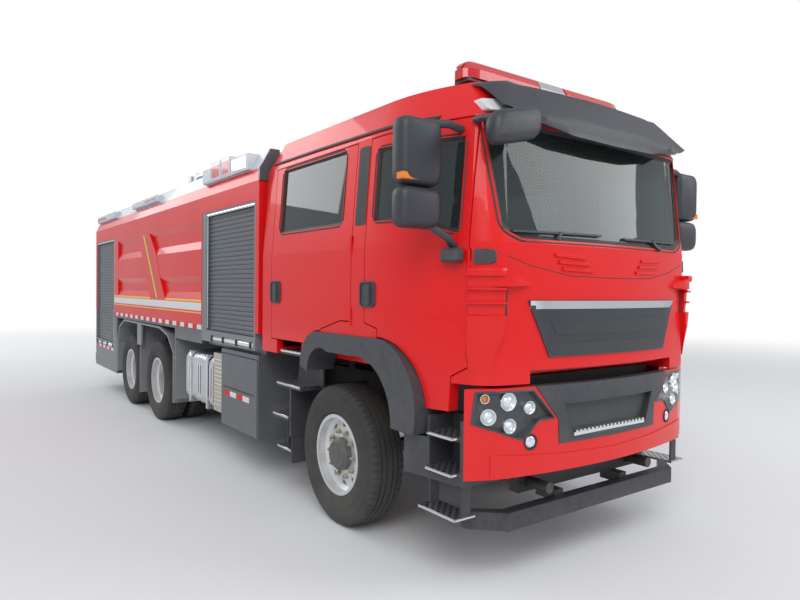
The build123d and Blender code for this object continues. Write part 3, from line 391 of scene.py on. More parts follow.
silver_paint, tree, shader = finish_of("wheel_silver", metallic=0.55, coat=0.15)
fleck = placed_group(tree, fine_grain, Color=(0.70, 0.71, 0.72), Scale=2500.0, Unevenness=0.12, Roughness=0.36)
scuffed = placed_group(tree, edge_wear, Color=fleck["Color"], Worn_Color=(0.3, 0.29, 0.28), Amount=0.5)
soiled = placed_group(tree, road_dust, Color=scuffed["Color"], Reach=1.3, Amount=0.2)
feed(tree, shader.inputs, Base_Color=soiled["Color"], Roughness=fleck["Roughness"])
hub_black = grained_finish("hub_black", (0.03, 0.03, 0.033), 0.45, grain=700, dust=0.5, dust_reach=1.3, wear=0.5)
nut_zinc = grained_finish("nut_zinc", (0.42, 0.40, 0.25), 0.38, grain=1200, metallic=0.85, dust=0.3, wear=0.6)
tyre_overhang, nut_count = 0.025, 10
nut_ring, nut_size, hub_size = 0.1675, 0.0185, 0.1215
hole_ring, hole_length, hole_width = 0.222, 0.026, 0.014
# Columns: depth over the disc's face, radius
nut_profile = ((-0.002, nut_size + 0.005), (0.003, nut_size + 0.005), (0.004, nut_size), (0.024, nut_size),
               (0.0275, nut_size - 0.004))
stud_profile = ((0.02, 0.010), (0.040, 0.010), (0.043, 0.008))
# Columns: row, depth of the disc's face behind the flange, reach of the hub over the face
for row, disc, reach in (("front", 0.062, 0.068), ("middle", 0.2785, 0.15), ("rear", 0.2785, 0.15)):
    dress(silver_paint, *pair(f"{row}_rim"))
    for side, sign in sides:
        wheel_y, wheel_z, flange = wheel_place(row, side)
        out, face = Vector((sign, 0, 0)), flange - disc
        hub, nuts, holes = (bmesh.new() for _ in range(3))
        add_turned(hub, (sign * face, wheel_y, wheel_z), out,
                   ((-0.004, hub_size), (reach - 0.024, hub_size), (reach - 0.008, hub_size - 0.018),
                    (reach + 0.0015, hub_size - 0.026), (reach + 0.0015, 0.06), (reach + 0.0055, 0.055)), 32)
        disc_skin = side_skin(sign, f"{row}_rim_{side}")
        for place in range(nut_count):
            turn = math.tau * place / nut_count
            nut_foot = (sign * face, wheel_y + nut_ring * math.cos(turn), wheel_z + nut_ring * math.sin(turn))
            add_turned(nuts, nut_foot, out, nut_profile, 6)
            add_turned(nuts, nut_foot, out, stud_profile, 10)
            # Black patches at the hand holes between the nuts: painted shade where the openings show the wheel's dark
            # inside
            turn = math.tau * (place + 0.5) / nut_count
            outline = []
            for step in range(12):
                around = hole_length * math.cos(math.tau * step / 12)
                outward = hole_ring + hole_width * math.sin(math.tau * step / 12)
                outline.append(Vector((0, wheel_y + outward * math.cos(turn) - around * math.sin(turn),
                                       wheel_z + outward * math.sin(turn) + around * math.cos(turn))))
            add_patch(holes, disc_skin, outline, 0.001, step=0.2)
        finished(holes, f"{row}_hand_hole_shade_{side}", hub_black, f"{row}_wheel_{side}")
        finished(hub, f"{row}_hub_cap_{side}", hub_black, f"{row}_wheel_{side}")
        finished(nuts, f"{row}_wheel_nuts_{side}", nut_zinc, f"{row}_wheel_{side}")

# Tyres
# Steel-belted radials with raised rings on the sidewalls and a ribbed tread, notched along both
# shoulders, seated on the rims and fitted in pairs at the rear.
tyre_rubber = grained_finish("tyre_rubber", (0.013, 0.013, 0.014), 0.74, grain=420, depth=0.0003,
                             worn=(0.05, 0.048, 0.047), wear=0.35, dust=0.24, dust_reach=1.5)
rim_width, dual_spacing = 0.25, 0.335
# Columns: depth from the flange plane into the truck, radius
tyre_half = ((0.013, 0.2866), (0.008, 0.300), (0.002, 0.306), (-0.006, 0.312), (-0.010, 0.322), (-0.0165, 0.338),
             (-0.0215, 0.362), (-0.0240, 0.384), (-0.0250, 0.401), (-0.0228, 0.4035), (-0.0250, 0.406),
             (-0.0245, 0.426), (-0.0220, 0.445), (-0.0195, 0.4585), (-0.0165, 0.4605), (-0.0160, 0.466),
             (-0.0100, 0.482), (-0.0020, 0.497), (0.006, 0.508), (0.016, 0.5145), (0.036, 0.5175), (0.054, 0.5185),
             (0.056, 0.5075), (0.063, 0.5075), (0.065, 0.519), (0.094, 0.5197), (0.096, 0.5085), (0.103, 0.5085),
             (0.105, 0.5199))
tyre_section = tyre_half + tuple((rim_width - depth, radius) for depth, radius in reversed(tyre_half))
tread_pitches, shoulder_notch = 60, 0.007
for row in ("front", "middle", "rear"):
    for side, sign in sides:
        wheel_y, wheel_z, flange = wheel_place(row, side)
        tyres = bmesh.new()
        for outer_x in (flange,) if row == "front" else (flange, flange - dual_spacing):
            rings = []
            for pitch in range(tread_pitches):
                for share, lowered in ((0, 0), (0.7, 0), (0.76, shoulder_notch), (0.94, shoulder_notch)):
                    turn = math.tau * (pitch + share) / tread_pitches
                    ring = []
                    for depth, radius in tyre_section:
                        if 0.005 < min(depth, rim_width - depth) < 0.05:
                            radius -= lowered
                        ring.append((sign * (outer_x - depth), wheel_y + radius * math.sin(turn),
                                     wheel_z + radius * math.cos(turn)))
                    rings.append(ring)
            add_rings(tyres, rings, looped=True)
        piece = finished(tyres, f"{row}_tread_tyre_{side}", tyre_rubber, f"{row}_wheel_{side}", 40)
        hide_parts(f"{row}_tyre_{side}")


# Cab shell, doors and hood
# Pressed steel panels in gloss signal red with a clear top coat, seamed at the doors and the hood.
# paint_flow: the faint orange peel and tone shift of sprayed paint
tree, taken, given = group_of("paint_flow", ("Color", "Roughness", "Height"), Color=(0.7, 0.02, 0.02, 1),
                              Shift=0.12, Roughness=0.25)
paint_flow = tree
broad = object_noise(tree, 1.3, 5.0)
share = math_step(tree, "MULTIPLY", broad, taken["Shift"])
duller = math_step(tree, "MULTIPLY", broad, 0.12)
feed(tree, given, Color=colour_mix(tree, share, taken["Color"], (0.55, 0.5, 0.5), "MULTIPLY"),
     Roughness=math_step(tree, "ADD", taken["Roughness"], duller), Height=object_noise(tree, 140.0))


def sprayed_finish(name, colour, roughness=0.3, coat=0.3, dust=0.08):
    """Gloss paint under a clear coat: orange peel, tone shift and a little road dust."""
    made, tree, shader = finish_of(name, coat=coat, specular=0.25)
    flow = placed_group(tree, paint_flow, Color=colour, Shift=0.16, Roughness=roughness)
    soil = placed_group(tree, road_dust, Color=flow["Color"], Reach=1.4, Amount=dust)
    feed(tree, shader.inputs, Base_Color=soil["Color"], Roughness=flow["Roughness"])
    bumped(tree, shader, flow["Height"], 0.05, 0.0005)
    return made


signal_red = sprayed_finish("signal_red", (0.74, 0.008, 0.009))
dress(signal_red, "cab_shell", "hood_panel", "bumper", "side_panels", *pair("front_door"), *pair("rear_door"))


# Hood seam
# The shut line of the maintenance hood, a shallow dark groove that dips towards the middle of the nose
# and runs from one corner of the cab to the other.
def mirrored(half):
    """A table from its positive half, its first column mirrored."""
    return [(-row[0], *row[1:]) for row in reversed(half)] + list(half)


def divided(path, looped=False):
    """A path with its long runs cut into short ones."""
    longest_run = 0.06
    points = []
    for start, end in zip(path, list(path[1:]) + (list(path[:1]) if looped else [])):
        runs = max(1, math.ceil((Vector(end) - Vector(start)).length / longest_run))
        points += [Vector(start).lerp(Vector(end), run / runs) for run in range(runs)]
    return points if looped else points + [Vector(path[-1])]


def on_front(path, sign=1):
    """Points given as X and height."""
    return [Vector((sign * x, 0, z)) for x, z in path]


def front_run(*points, sign=1):
    """A line on the front, cut into short runs."""
    return divided(on_front(points, sign))


def add_band(shape, skin, path, width, rise, looped=False, sink=0.004):
    """A flat band with eased edges that follows a skin along a path."""
    rings = []
    for index, point in enumerate(path):
        before = path[index - 1] if looped or index else point
        after = path[(index + 1) % len(path)] if looped or index + 1 < len(path) else point
        out = (after - before).cross(skin.way).normalized() * width / 2
        rings.append([skin.lay(point + share * out, lift) for share, lift in
                      ((-1, -sink), (-1, 0.5 * rise), (-0.7, rise), (0.7, rise), (1, 0.5 * rise), (1, -sink))])
    add_rings(shape, rings, looped)


shut_line = grained_finish("shut_line", (0.09, 0.008, 0.008), 0.6, dust=0, wear=0)
hood_line = mirrored(((0.096, 1.843), (0.429, 1.849), (0.730, 1.902), (1.008, 1.986)))
seam = bmesh.new()
add_band(seam, Skin((0, 1, 0), "hood_panel", "cab_shell"), front_run(*hood_line), 0.006, 0.0006)
finished(seam, "hood_shut_line", shut_line, "cab")


# Gutter strips
# Narrow black rubber strips over the doors that turn rain away, pressed onto the roof's lower edge on
# both sides.
def on_side(path):
    """Points given as Y behind the front axle and height."""
    return [Vector((0, y + front_axle_y, z)) for y, z in path]


def side_run(*points):
    """A line on a side, cut into short runs."""
    return divided(on_side(points))


seal_rubber = grained_finish("seal_rubber", (0.014, 0.014, 0.015), 0.55, grain=900, dust=0, wear=0.1)
for side, sign in sides:
    gutter = bmesh.new()
    add_band(gutter, side_skin(sign, "cab_shell"),
             side_run((1.08, 2.838), (0.3, 2.834), (-0.7, 2.817), (-1.10, 2.80)), 0.024, 0.012)
    finished(gutter, f"gutter_{side}", seal_rubber, "cab")


# Windows
# Tinted safety glass bonded into the doors and the windscreen frame, edged with black rubber seals that
# follow the openings' outlines.
def rounded(outline, corner):
    """A closed outline of 2-D points with its corners rounded."""
    path = []
    for index, spot in enumerate(outline):
        spot = Vector(spot)
        back, ahead = Vector(outline[index - 1]) - spot, Vector(outline[(index + 1) % len(outline)]) - spot
        start = spot + back.normalized() * min(corner, back.length / 2)
        end = spot + ahead.normalized() * min(corner, ahead.length / 2)
        for step in range(5):
            share = step / 4
            path.append(start.lerp(spot, share).lerp(spot.lerp(end, share), share))
    return path


def glass_finish(name, transmission, noise_scale, darker, paler):
    """Clear or tinted glass whose tone varies a little."""
    made, tree, shader = finish_of(name)
    feed(tree, shader.inputs, Transmission_Weight=transmission, Roughness=0.02,
         Base_Color=colour_mix(tree, object_noise(tree, noise_scale), darker, paler))
    return made, shader


tinted_glass, shader = glass_finish("tinted_glass", 0.85, 0.7, (0.10, 0.14, 0.135), (0.13, 0.175, 0.17))
dress(tinted_glass, "windscreen", *pair("front_glass"), *pair("rear_glass"))
front_window = ((-0.565, 2.690), (-0.565, 2.205), (-0.900, 2.195), (-1.290, 2.085), (-1.290, 2.660))
rear_window = ((0.845, 2.745), (0.845, 2.215), (-0.165, 2.215), (-0.165, 2.745))
windscreen_edge = ((-0.80, 2.06), (0.80, 2.06), (0.935, 2.12), (0.995, 2.70), (0.995, 2.755), (-0.995, 2.755),
                   (-0.995, 2.70), (-0.935, 2.12))
for side, sign in sides:
    for row, outline in (("front", front_window), ("rear", rear_window)):
        seal = bmesh.new()
        skin = side_skin(sign, f"{row}_door_{side}", f"{row}_glass_{side}")
        add_band(seal, skin, divided(on_side(rounded(outline, 0.06)), looped=True), 0.036, 0.005, looped=True)
        finished(seal, f"{row}_window_seal_{side}", seal_rubber, f"{row}_door_{side}")
seal = bmesh.new()
screen_skin = Skin((0, 1, 0), "cab_shell", "windscreen")
add_band(seal, screen_skin, divided(on_front(rounded(windscreen_edge, 0.05)), looped=True), 0.05, 0.004, looped=True)
finished(seal, "windscreen_seal", seal_rubber, "cab")


# Wipers
# Two black arms on capped spindles under the windscreen, their rubber blades parked along its foot.
# Arms and blades are painted steel and follow the glass.
def add_dome(shape, centre, way, radius, height, steps=24):
    """A low rounded cap on a flat foot."""
    profile = [(height * math.sin(turn), radius * math.cos(turn)) for turn in (0, 0.3, 0.6, 0.9, 1.2, 1.45)]
    add_turned(shape, centre, Vector(way).normalized(), [(-0.002, radius)] + profile, steps)


dark_plastic = grained_finish("dark_plastic", (0.028, 0.03, 0.038), 0.48, grain=1400, depth=0.0002, wear=0.15,
                              dust=0.18, dust_reach=1.3)
wipers = bmesh.new()
# Columns: X of the spindle, X of the blade from and to
for cap_x, blade_from, blade_to in ((-0.55, -0.86, -0.13), (0.57, 0.12, 0.83)):
    add_dome(wipers, screen_skin.lay((cap_x, 0, 2.02)), (0, -1, 0.15), 0.032, 0.026, 16)
    add_band(wipers, screen_skin, front_run((cap_x, 2.024), ((blade_from + blade_to) / 2, 2.112)), 0.024, 0.028,
             sink=-0.01)
    add_band(wipers, screen_skin, front_run((blade_from, 2.104), (blade_to, 2.112)), 0.016, 0.022)
finished(wipers, "wipers", dark_plastic, "cab")


# Door pillars and handles
# A gloss black filler between the door windows, pull handles in dark recessed plates, and the pressed
# line that falls forward across the front door.
def oblong(u0, v0, u1, v1):
    """The corners of an upright rectangle."""
    return (u0, v0), (u1, v0), (u1, v1), (u0, v1)


for side, sign in sides:
    crease, filler = bmesh.new(), bmesh.new()
    add_band(crease, side_skin(sign, f"front_door_{side}"),
             side_run((-0.66, 1.690), (-0.90, 1.640), (-1.28, 1.575)), 0.010, 0.0022)
    finished(crease, f"door_crease_{side}", signal_red, f"front_door_{side}")
    add_patch(filler, side_skin(sign, f"front_door_{side}", "cab_shell", f"rear_door_{side}"),
              on_side(rounded(oblong(-0.475, 2.19, -0.345, 2.73), 0.02)), 0.003)
    finished(filler, f"pillar_filler_{side}", seal_rubber, f"front_door_{side}")
    for row, front, rear, low, high in (("front", -0.613, -0.445, 1.64, 1.80), ("rear", 0.80, 0.97, 1.635, 1.81)):
        handle = bmesh.new()
        skin = side_skin(sign, f"{row}_door_{side}")
        plate = oblong(front, low, rear, high)
        grip_y = front + 0.35 * (rear - front)
        add_patch(handle, skin, on_side(rounded(plate, 0.03)), 0.005)
        add_band(handle, skin, divided(on_side(rounded(plate, 0.035)), looped=True), 0.014, 0.012, looped=True)
        add_band(handle, skin, side_run((grip_y, low + 0.012), (grip_y, high - 0.012)), 0.036, 0.026)
        finished(handle, f"{row}_door_handle_{side}", dark_plastic, f"{row}_door_{side}")

# Grille
# Moulded plastic grille, clipped to the hood, with a mesh of punched sheet behind its two openings and a
# chromed strip along its head.
dress(dark_plastic, "arch_flares", "cab_steps", "grille", "bumper_centre", "sun_visor", "kerb_mirror",
      *pair("mirror"))
chrome = grained_finish("chrome", (0.74, 0.75, 0.77), 0.16, metallic=0.95, grain=1800, depth=0.00003, dust=0.1,
                        wear=0, uneven=0.05)
# punched_holes: rows of round holes in a plate, from two of the object's axes, the holes filled with a dark painted
# shade
tree, taken, given = group_of("punched_holes", ("Color", "Mask"), Spot=(0, 0, 0), Color=(0.5, 0.5, 0.5, 1),
                              Hole_Color=(0.01, 0.01, 0.01, 1), Rows=30.0, Size=0.3)
punched_holes = tree
hole_rows = add_node(tree, "TexVoronoi", {"voronoi_dimensions": "2D"}, Vector=taken["Spot"], Scale=taken["Rows"],
                     Randomness=0.0)
inside = math_step(tree, "SUBTRACT", taken["Size"], hole_rows.outputs["Distance"])
hole_mask = math_step(tree, "MULTIPLY", inside, 14.0, clamp=True)
feed(tree, given, Color=colour_mix(tree, hole_mask, taken["Color"], taken["Hole Color"]), Mask=hole_mask)


def punched_finish(name, colour, hole_shade_colour, rows, size, upright=False, metallic=0.9, roughness=0.3):
    """Plate with slanting rows of holes in painted shade, seen from above or, if upright, from the front."""
    made, tree, shader = finish_of(name, metallic)
    axes = object_axes(tree)
    flat = add_node(tree, "CombineXYZ", X=axes["X"], Y=axes["Z" if upright else "Y"])
    turned = add_node(tree, "VectorRotate", Vector=flat.outputs[0], Angle=math.radians(45))
    grained = placed_group(tree, fine_grain, Color=colour, Scale=1500.0, Unevenness=0.1, Roughness=roughness)
    soiled = placed_group(tree, road_dust, Color=grained["Color"], Reach=1.6, Amount=0.3)
    holes = placed_group(tree, punched_holes, Spot=turned.outputs[0], Color=soiled["Color"], Hole_Color=hole_shade_colour,
                         Rows=rows, Size=size)
    feed(tree, shader.inputs, Base_Color=holes["Color"], Roughness=grained["Roughness"])
    bumped(tree, shader, math_step(tree, "SUBTRACT", 1.0, holes["Mask"]), 0.6, 0.002)
    return made


# The grille's punched sheet, its holes near black with painted shade
grille_mesh = punched_finish("grille_mesh", (0.045, 0.048, 0.055), (0.003, 0.003, 0.003), 62.0, 0.36, upright=True,
                             metallic=0.0, roughness=0.45)
nose_skin = Skin((0, 1, 0), "grille", "hood_panel")
mesh_panel, strip = bmesh.new(), bmesh.new()
# Columns: half width and height at the foot, half width and height at the head
for foot_x, foot_z, head_x, head_z, rise, shape in ((0.552, 1.492, 0.594, 1.58, 0.002, mesh_panel),
                                                    (0.585, 1.374, 0.622, 1.44, 0.002, mesh_panel),
                                                    (0.742, 1.648, 0.752, 1.697, 0.006, strip)):
    add_patch(shape, nose_skin, on_front(((-foot_x, foot_z), (foot_x, foot_z), (head_x, head_z), (-head_x, head_z))),
              rise)
finished(mesh_panel, "grille_mesh", grille_mesh, "cab")
finished(strip, "grille_strip", chrome, "cab")


# Seats
# Cloth-covered foam cushions and backs on steel boxes. One cushion and one back are puffed out by a short
# cloth run and then set at every place.
def add_slab(shape, low, high, ease=0.002):
    """A block between two corners with eased edges."""
    (x0, y0, z0), (x1, y1, z1) = low, high
    rings = []
    for z, inset in ((z0, ease), (z0 + ease, 0), (z1 - ease, 0), (z1, ease)):
        a, b, c, d = x0 + inset, x1 - inset, y0 + inset, y1 - inset
        rings.append([(a + ease, c, z), (b - ease, c, z), (b, c + ease, z), (b, d - ease, z), (b - ease, d, z),
                      (a + ease, d, z), (a, d - ease, z), (a, c + ease, z)])
    add_rings(shape, rings)


def add_block(shape, low, high, ease=0.002, sign=1):
    """A block with eased edges on either side, its Y given behind the front axle."""
    x0, x1 = sorted((sign * low[0], sign * high[0]))
    add_slab(shape, (x0, front_axle_y + low[1], low[2]), (x1, front_axle_y + high[1], high[2]), ease)


def puffed(name, low, high, lean=0.0):
    """A cushion blown up by a short cloth run from a slightly smaller block."""
    most = 0.022
    shape = bmesh.new()
    add_slab(shape, low, high, 0.03)
    for vertex in shape.verts:
        vertex.co.y += lean * (vertex.co.z - low[2])
    mesh = bpy.data.meshes.new(name)
    bmesh.ops.recalc_face_normals(shape, faces=shape.faces)
    shape.to_mesh(mesh)
    shape.free()
    cushion = linked(name, mesh)
    remesh = cushion.modifiers.new("even_mesh", "REMESH")
    remesh.mode = "VOXEL"
    remesh.voxel_size = 0.016
    evaluated = cushion.evaluated_get(bpy.context.evaluated_depsgraph_get())
    cushion.data = bpy.data.meshes.new_from_object(evaluated)
    cushion.modifiers.clear()
    before = [vertex.co.copy() for vertex in cushion.data.vertices]
    cloth = cushion.modifiers.new("stuffing", "CLOTH")
    cloth.settings.use_pressure = True
    cloth.settings.uniform_pressure_force = 4
    cloth.settings.effector_weights.gravity = 0
    for step in range(1, 21):
        bpy.context.scene.frame_set(step)
    evaluated = cushion.evaluated_get(bpy.context.evaluated_depsgraph_get())
    after = bpy.data.meshes.new_from_object(evaluated)
    for vertex, start in zip(after.vertices, before):
        moved = vertex.co - start
        if moved.length > most:
            vertex.co = start + moved.normalized() * most
    cushion.modifiers.clear()
    cushion.data = after
    bpy.context.scene.frame_set(1)
    smooth = cushion.modifiers.new("soft_skin", "SUBSURF")
    smooth.levels = 1
    evaluated = cushion.evaluated_get(bpy.context.evaluated_depsgraph_get())
    made = bpy.data.meshes.new_from_object(evaluated)
    bpy.data.objects.remove(cushion)
    return made


seat_cloth = grained_finish("seat_cloth", (0.045, 0.05, 0.065), 0.92, grain=900, depth=0.0012, dust=0, wear=0)
cabin_plastic = grained_finish("cabin_plastic", (0.09, 0.09, 0.1), 0.7, grain=1100, dust=0)
dress(cabin_plastic, "dashboard")
cushion_mesh = puffed("cushion_form", (-0.235, 0.02, 1.62), (0.235, 0.48, 1.715))
back_mesh = puffed("back_form", (-0.235, 0.40, 1.67), (0.235, 0.49, 2.31), lean=0.135)
pedestals = bmesh.new()
# Columns: middle X, front Y behind the front axle
seat_places = ((0.60, -0.65), (-0.60, -0.65), (0.66, 0.33), (0.0, 0.33), (-0.66, 0.33))
for number, (middle, front) in enumerate(seat_places, 1):
    add_block(pedestals, (middle - 0.15, front + 0.08, 1.26), (middle + 0.15, front + 0.42, 1.61), 0.01)
    for kind, source in (("cushion", cushion_mesh), ("back", back_mesh)):
        mesh = source.copy()
        mesh.transform(Matrix.Translation((middle, front_axle_y + front, 0)))
        mesh.materials.clear()
        mesh.materials.append(seat_cloth)
        mesh.shade_smooth()
        piece = linked(f"seat_{kind}_{number}", mesh)
        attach(piece, "cab")
        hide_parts("cab_seats")
finished(pedestals, "seat_boxes", dark_plastic, "cab")

# Air deflectors, hood vents and wheel housings
# Sheet metal swellings on both cab corners with three slots and a thin blade, two raised vents under the
# windscreen, and the inner housings that close the arches towards the hood.
cab_half, nose_reach, corner_reach = 1.235, 1.580, 1.360
# Columns: height, how far the deflector stands out
vane_heights = ((1.287, 0.004), (1.500, 0.028), (1.608, 0.034), (1.612, 0.014), (1.674, 0.018), (1.678, 0.038),
                (1.688, 0.039), (1.692, 0.019), (1.754, 0.022), (1.758, 0.043), (1.768, 0.044), (1.772, 0.024),
                (1.834, 0.028), (1.838, 0.048), (1.868, 0.050), (1.881, 0.044))
# Columns: X, height from and to, reach ahead of the front axle
blade_stations = ((0.755, 1.788, 1.800, 1.534), (0.880, 1.780, 1.842, 1.543), (0.955, 1.778, 1.861, 1.541),
                  (1.010, 1.778, 1.873, 1.505), (1.030, 1.790, 1.865, 1.480))
# Columns: X from and to, height from and to
hood_vents = ((0.554, 0.298, 1.973, 1.960), (0.525, 0.266, 1.931, 1.921), (0.496, 0.233, 1.890, 1.882))
nose_metal = Skin((0, 1, 0), "cab_shell", "hood_panel", "grille")
for side, sign in sides:
    vane, vents, inlet_painted_shade, housing = (bmesh.new() for _ in range(4))
    rings = []
    for height, stand_off in vane_heights:
        out_x, out_y = cab_half + stand_off, corner_reach + 0.7 * stand_off
        ahead = nose_reach + stand_off
        # The corner's curve runs through these three plan points
        a, b, c = ((out_x - 0.150, out_y), (out_x - 0.208, out_y + 0.36 * (ahead - out_y)),
                   (out_x - 0.330, out_y + 0.6 * (ahead - out_y)))
        inner_x = 0.940 + 0.07 * max(0.0, (1.600 - height) / 0.313)
        ring = []
        for step in range(11):
            x = a[0] + (max(inner_x, c[0]) - a[0]) * step / 10
            y = (a[1] * (x - b[0]) * (x - c[0]) / ((a[0] - b[0]) * (a[0] - c[0]))
                 + b[1] * (x - a[0]) * (x - c[0]) / ((b[0] - a[0]) * (b[0] - c[0]))
                 + c[1] * (x - a[0]) * (x - b[0]) / ((c[0] - a[0]) * (c[0] - b[0])))
            ring.append((sign * x, front_axle_y - y, height))
        ring += [(sign * inner_x, front_axle_y - 1.43, height), (sign * 1.05, front_axle_y - 1.35, height)]
        rings.append(ring)
    add_rings(vane, rings)
    add_rings(vane, [[(sign * x, front_axle_y - y, z) for y, z in
                      ((reach, low), (reach, high), (1.44, high), (1.44, low))]
                     for x, low, high, reach in blade_stations])
    for start_x, end_x, start_z, end_z in hood_vents:
        add_band(vents, nose_metal, front_run((start_x, start_z), (end_x, end_z), sign=sign), 0.024, 0.011)
    # A flat dark patch beside the deflector: painted shade in the opening of its air inlet
    add_patch(inlet_painted_shade, nose_metal, on_front(oblong(0.905, 1.60, 0.935, 1.775), sign), 0.002)
    add_block(housing, (0.600, -1.0, 0.81), (0.610, 0.33, 1.207), 0.003, sign)
    finished(vane, f"air_deflector_{side}", signal_red, "cab")
    finished(vents, f"hood_vents_{side}", signal_red, "cab")
    finished(inlet_painted_shade, f"deflector_inlet_shade_{side}", seal_rubber, "cab")
    finished(housing, f"wheel_housing_{side}", seal_rubber, "cab")
# A dark plate behind the gap under the hood: painted shade where the white floor would show through
painted_gap_shade = bmesh.new()
add_block(painted_gap_shade, (-0.70, -1.363, 1.05), (0.70, -1.355, 1.224))
finished(painted_gap_shade, "hood_gap_painted_shade", seal_rubber)

# Sun visor
# A deep moulded visor of dark plastic that swells out over the windscreen, screwed to two brackets and
# lit at both ends by small clear lamps. It takes the place of the flat CAD visor.
visor_low = ((0.0, 2.695), (0.40, 2.705), (0.80, 2.765), (1.0, 2.84))
visor_high = ((0.0, 3.052), (0.60, 3.048), (1.0, 2.992))
visor_stations, station_gap = 33, 0.0285


def between(table, x):
    """The height that a table of X and height gives at X."""
    for (x0, z0), (x1, z1) in zip(table, table[1:]):
        if x <= x1:
            return z0 + (z1 - z0) * (x - x0) / (x1 - x0)
    return table[-1][1]


visor, corner_lamps = bmesh.new(), bmesh.new()
rings = []
for station in range(-visor_stations, visor_stations + 1):
    x = station * station_gap
    low, high = between(visor_low, abs(x)), between(visor_high, abs(x))
    outer, inner = [], []
    for step in range(9):
        share = step / 8
        z = low + (high - low) * share
        wall_y = screen_skin.lay((x, 0, z)).y
        swell = 0.045 + 0.062 * (1 - share) ** 0.8
        outer.append(Vector((x, wall_y - swell - 0.022, z)))
        inner.append(Vector((x, wall_y - swell * (0.97 if share < 0.9 else 0.3), z + 0.004)))
    rings.append(outer + inner[::-1])
add_rings(visor, rings)
for x in (-0.60, 0.60):
    wall_y = screen_skin.lay((x, 0, 2.93)).y
    add_slab(visor, (x - 0.02, wall_y - 0.08, 2.90), (x + 0.02, wall_y + 0.004, 2.96), 0.003)
piece = finished(visor, "moulded_visor", dark_plastic, "cab", bend=45)
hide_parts("sun_visor")
lamp_clear = grained_finish("lamp_clear", (0.62, 0.65, 0.68), 0.12, coat=0.7, grain=200, depth=0.0001, dust=0)
corner_lamp = rounded(((0.80, 2.815), (0.985, 2.80), (0.99, 2.885), (0.80, 2.872)), 0.02)
for side, sign in sides:
    add_patch(corner_lamps, screen_skin, on_front(corner_lamp, sign), 0.05)
finished(corner_lamps, "corner_lamps", lamp_clear, "cab")

# Light bar
# A long six-sided beacon cover of clear red plastic with tapered ends and a colourless middle, bolted
# through two feet. It takes the place of the plain CAD bar.
bar_y = front_axle_y - 0.95
beacon_red, tree, shader = finish_of("beacon_red", coat=0.7)
along = object_axes(tree)["X"]
off_middle = math_step(tree, "ABSOLUTE", along)
red_share = math_step(tree, "MULTIPLY", math_step(tree, "SUBTRACT", off_middle, 0.13), 300.0, clamp=True)
ribs = math_step(tree, "PINGPONG", along, 0.012)
lens_tone = colour_mix(tree, math_step(tree, "MULTIPLY", ribs, 20.0, clamp=True), (0.52, 0.008, 0.012),
                       (0.72, 0.02, 0.03))
feed(tree, shader.inputs, Base_Color=colour_mix(tree, red_share, (0.35, 0.36, 0.38), lens_tone), Roughness=0.14)
bumped(tree, shader, ribs, 0.3, 0.004)
beacon, feet = bmesh.new(), bmesh.new()
rings = []
# Columns: X, how far the section is drawn in
for x, drawn_in in mirrored(((0.13, 0), (0.132, 0.006), (0.148, 0.006), (0.15, 0), (0.70, 0), (0.760, 0.004),
                             (0.800, 0.020), (0.822, 0.045))):
    outline = ((-0.084 + drawn_in, 3.128), (-0.084 + drawn_in, 3.186), (-0.055 + drawn_in, 3.236 - drawn_in),
               (-0.03, 3.250 - drawn_in), (0.03, 3.250 - drawn_in), (0.055 - drawn_in, 3.236 - drawn_in),
               (0.084 - drawn_in, 3.186), (0.084 - drawn_in, 3.128))
    rings.append([(x, bar_y + y, z) for y, z in outline])
add_rings(beacon, rings)
piece = finished(beacon, "beacon_cover", beacon_red, "cab", 25)
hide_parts("light_bar")
add_slab(feet, (-0.80, bar_y - 0.07, 3.104), (0.80, bar_y + 0.07, 3.130), 0.004)
for x in (-0.55, 0.55):
    add_slab(feet, (x - 0.06, bar_y - 0.06, 3.04), (x + 0.06, bar_y + 0.08, 3.110), 0.004)
finished(feet, "beacon_feet", dark_plastic, "cab")


# Mirrors
# Black rounded housings on tubular arms, silvered glass behind and an orange repeater on the outer edge.
# They take the place of the plain CAD mirrors.
def add_pod(shape, low, high, corner):
    """A rounded upright housing, drawn in towards the front and a little towards the back."""
    rings = []
    for share, inset in ((0.0, 0.042), (0.05, 0.024), (0.16, 0.010), (0.36, 0.002), (0.6, 0.0), (0.9, 0.003),
                         (0.97, 0.008), (1.0, 0.016)):
        outline = rounded(oblong(low[0] + inset, low[2] + inset, high[0] - inset, high[2] - inset), corner)
        rings.append([(x, low[1] + share * (high[1] - low[1]), z) for x, z in outline])
    add_rings(shape, rings)


def add_tube(shape, path, radius, steps=12):
    """A tube with closed ends along a few points."""
    rings = []
    for index, point in enumerate(path):
        before, after = Vector(path[max(0, index - 1)]), Vector(path[min(len(path) - 1, index + 1)])
        way = (after - before).normalized()
        first = way.cross(Vector((0.13, 0.31, 0.94))).normalized()
        second = way.cross(first)
        turns = [math.tau * step / steps for step in range(steps)]
        rings.append([Vector(point) + radius * (math.cos(turn) * first + math.sin(turn) * second) for turn in turns])
    add_rings(shape, rings)


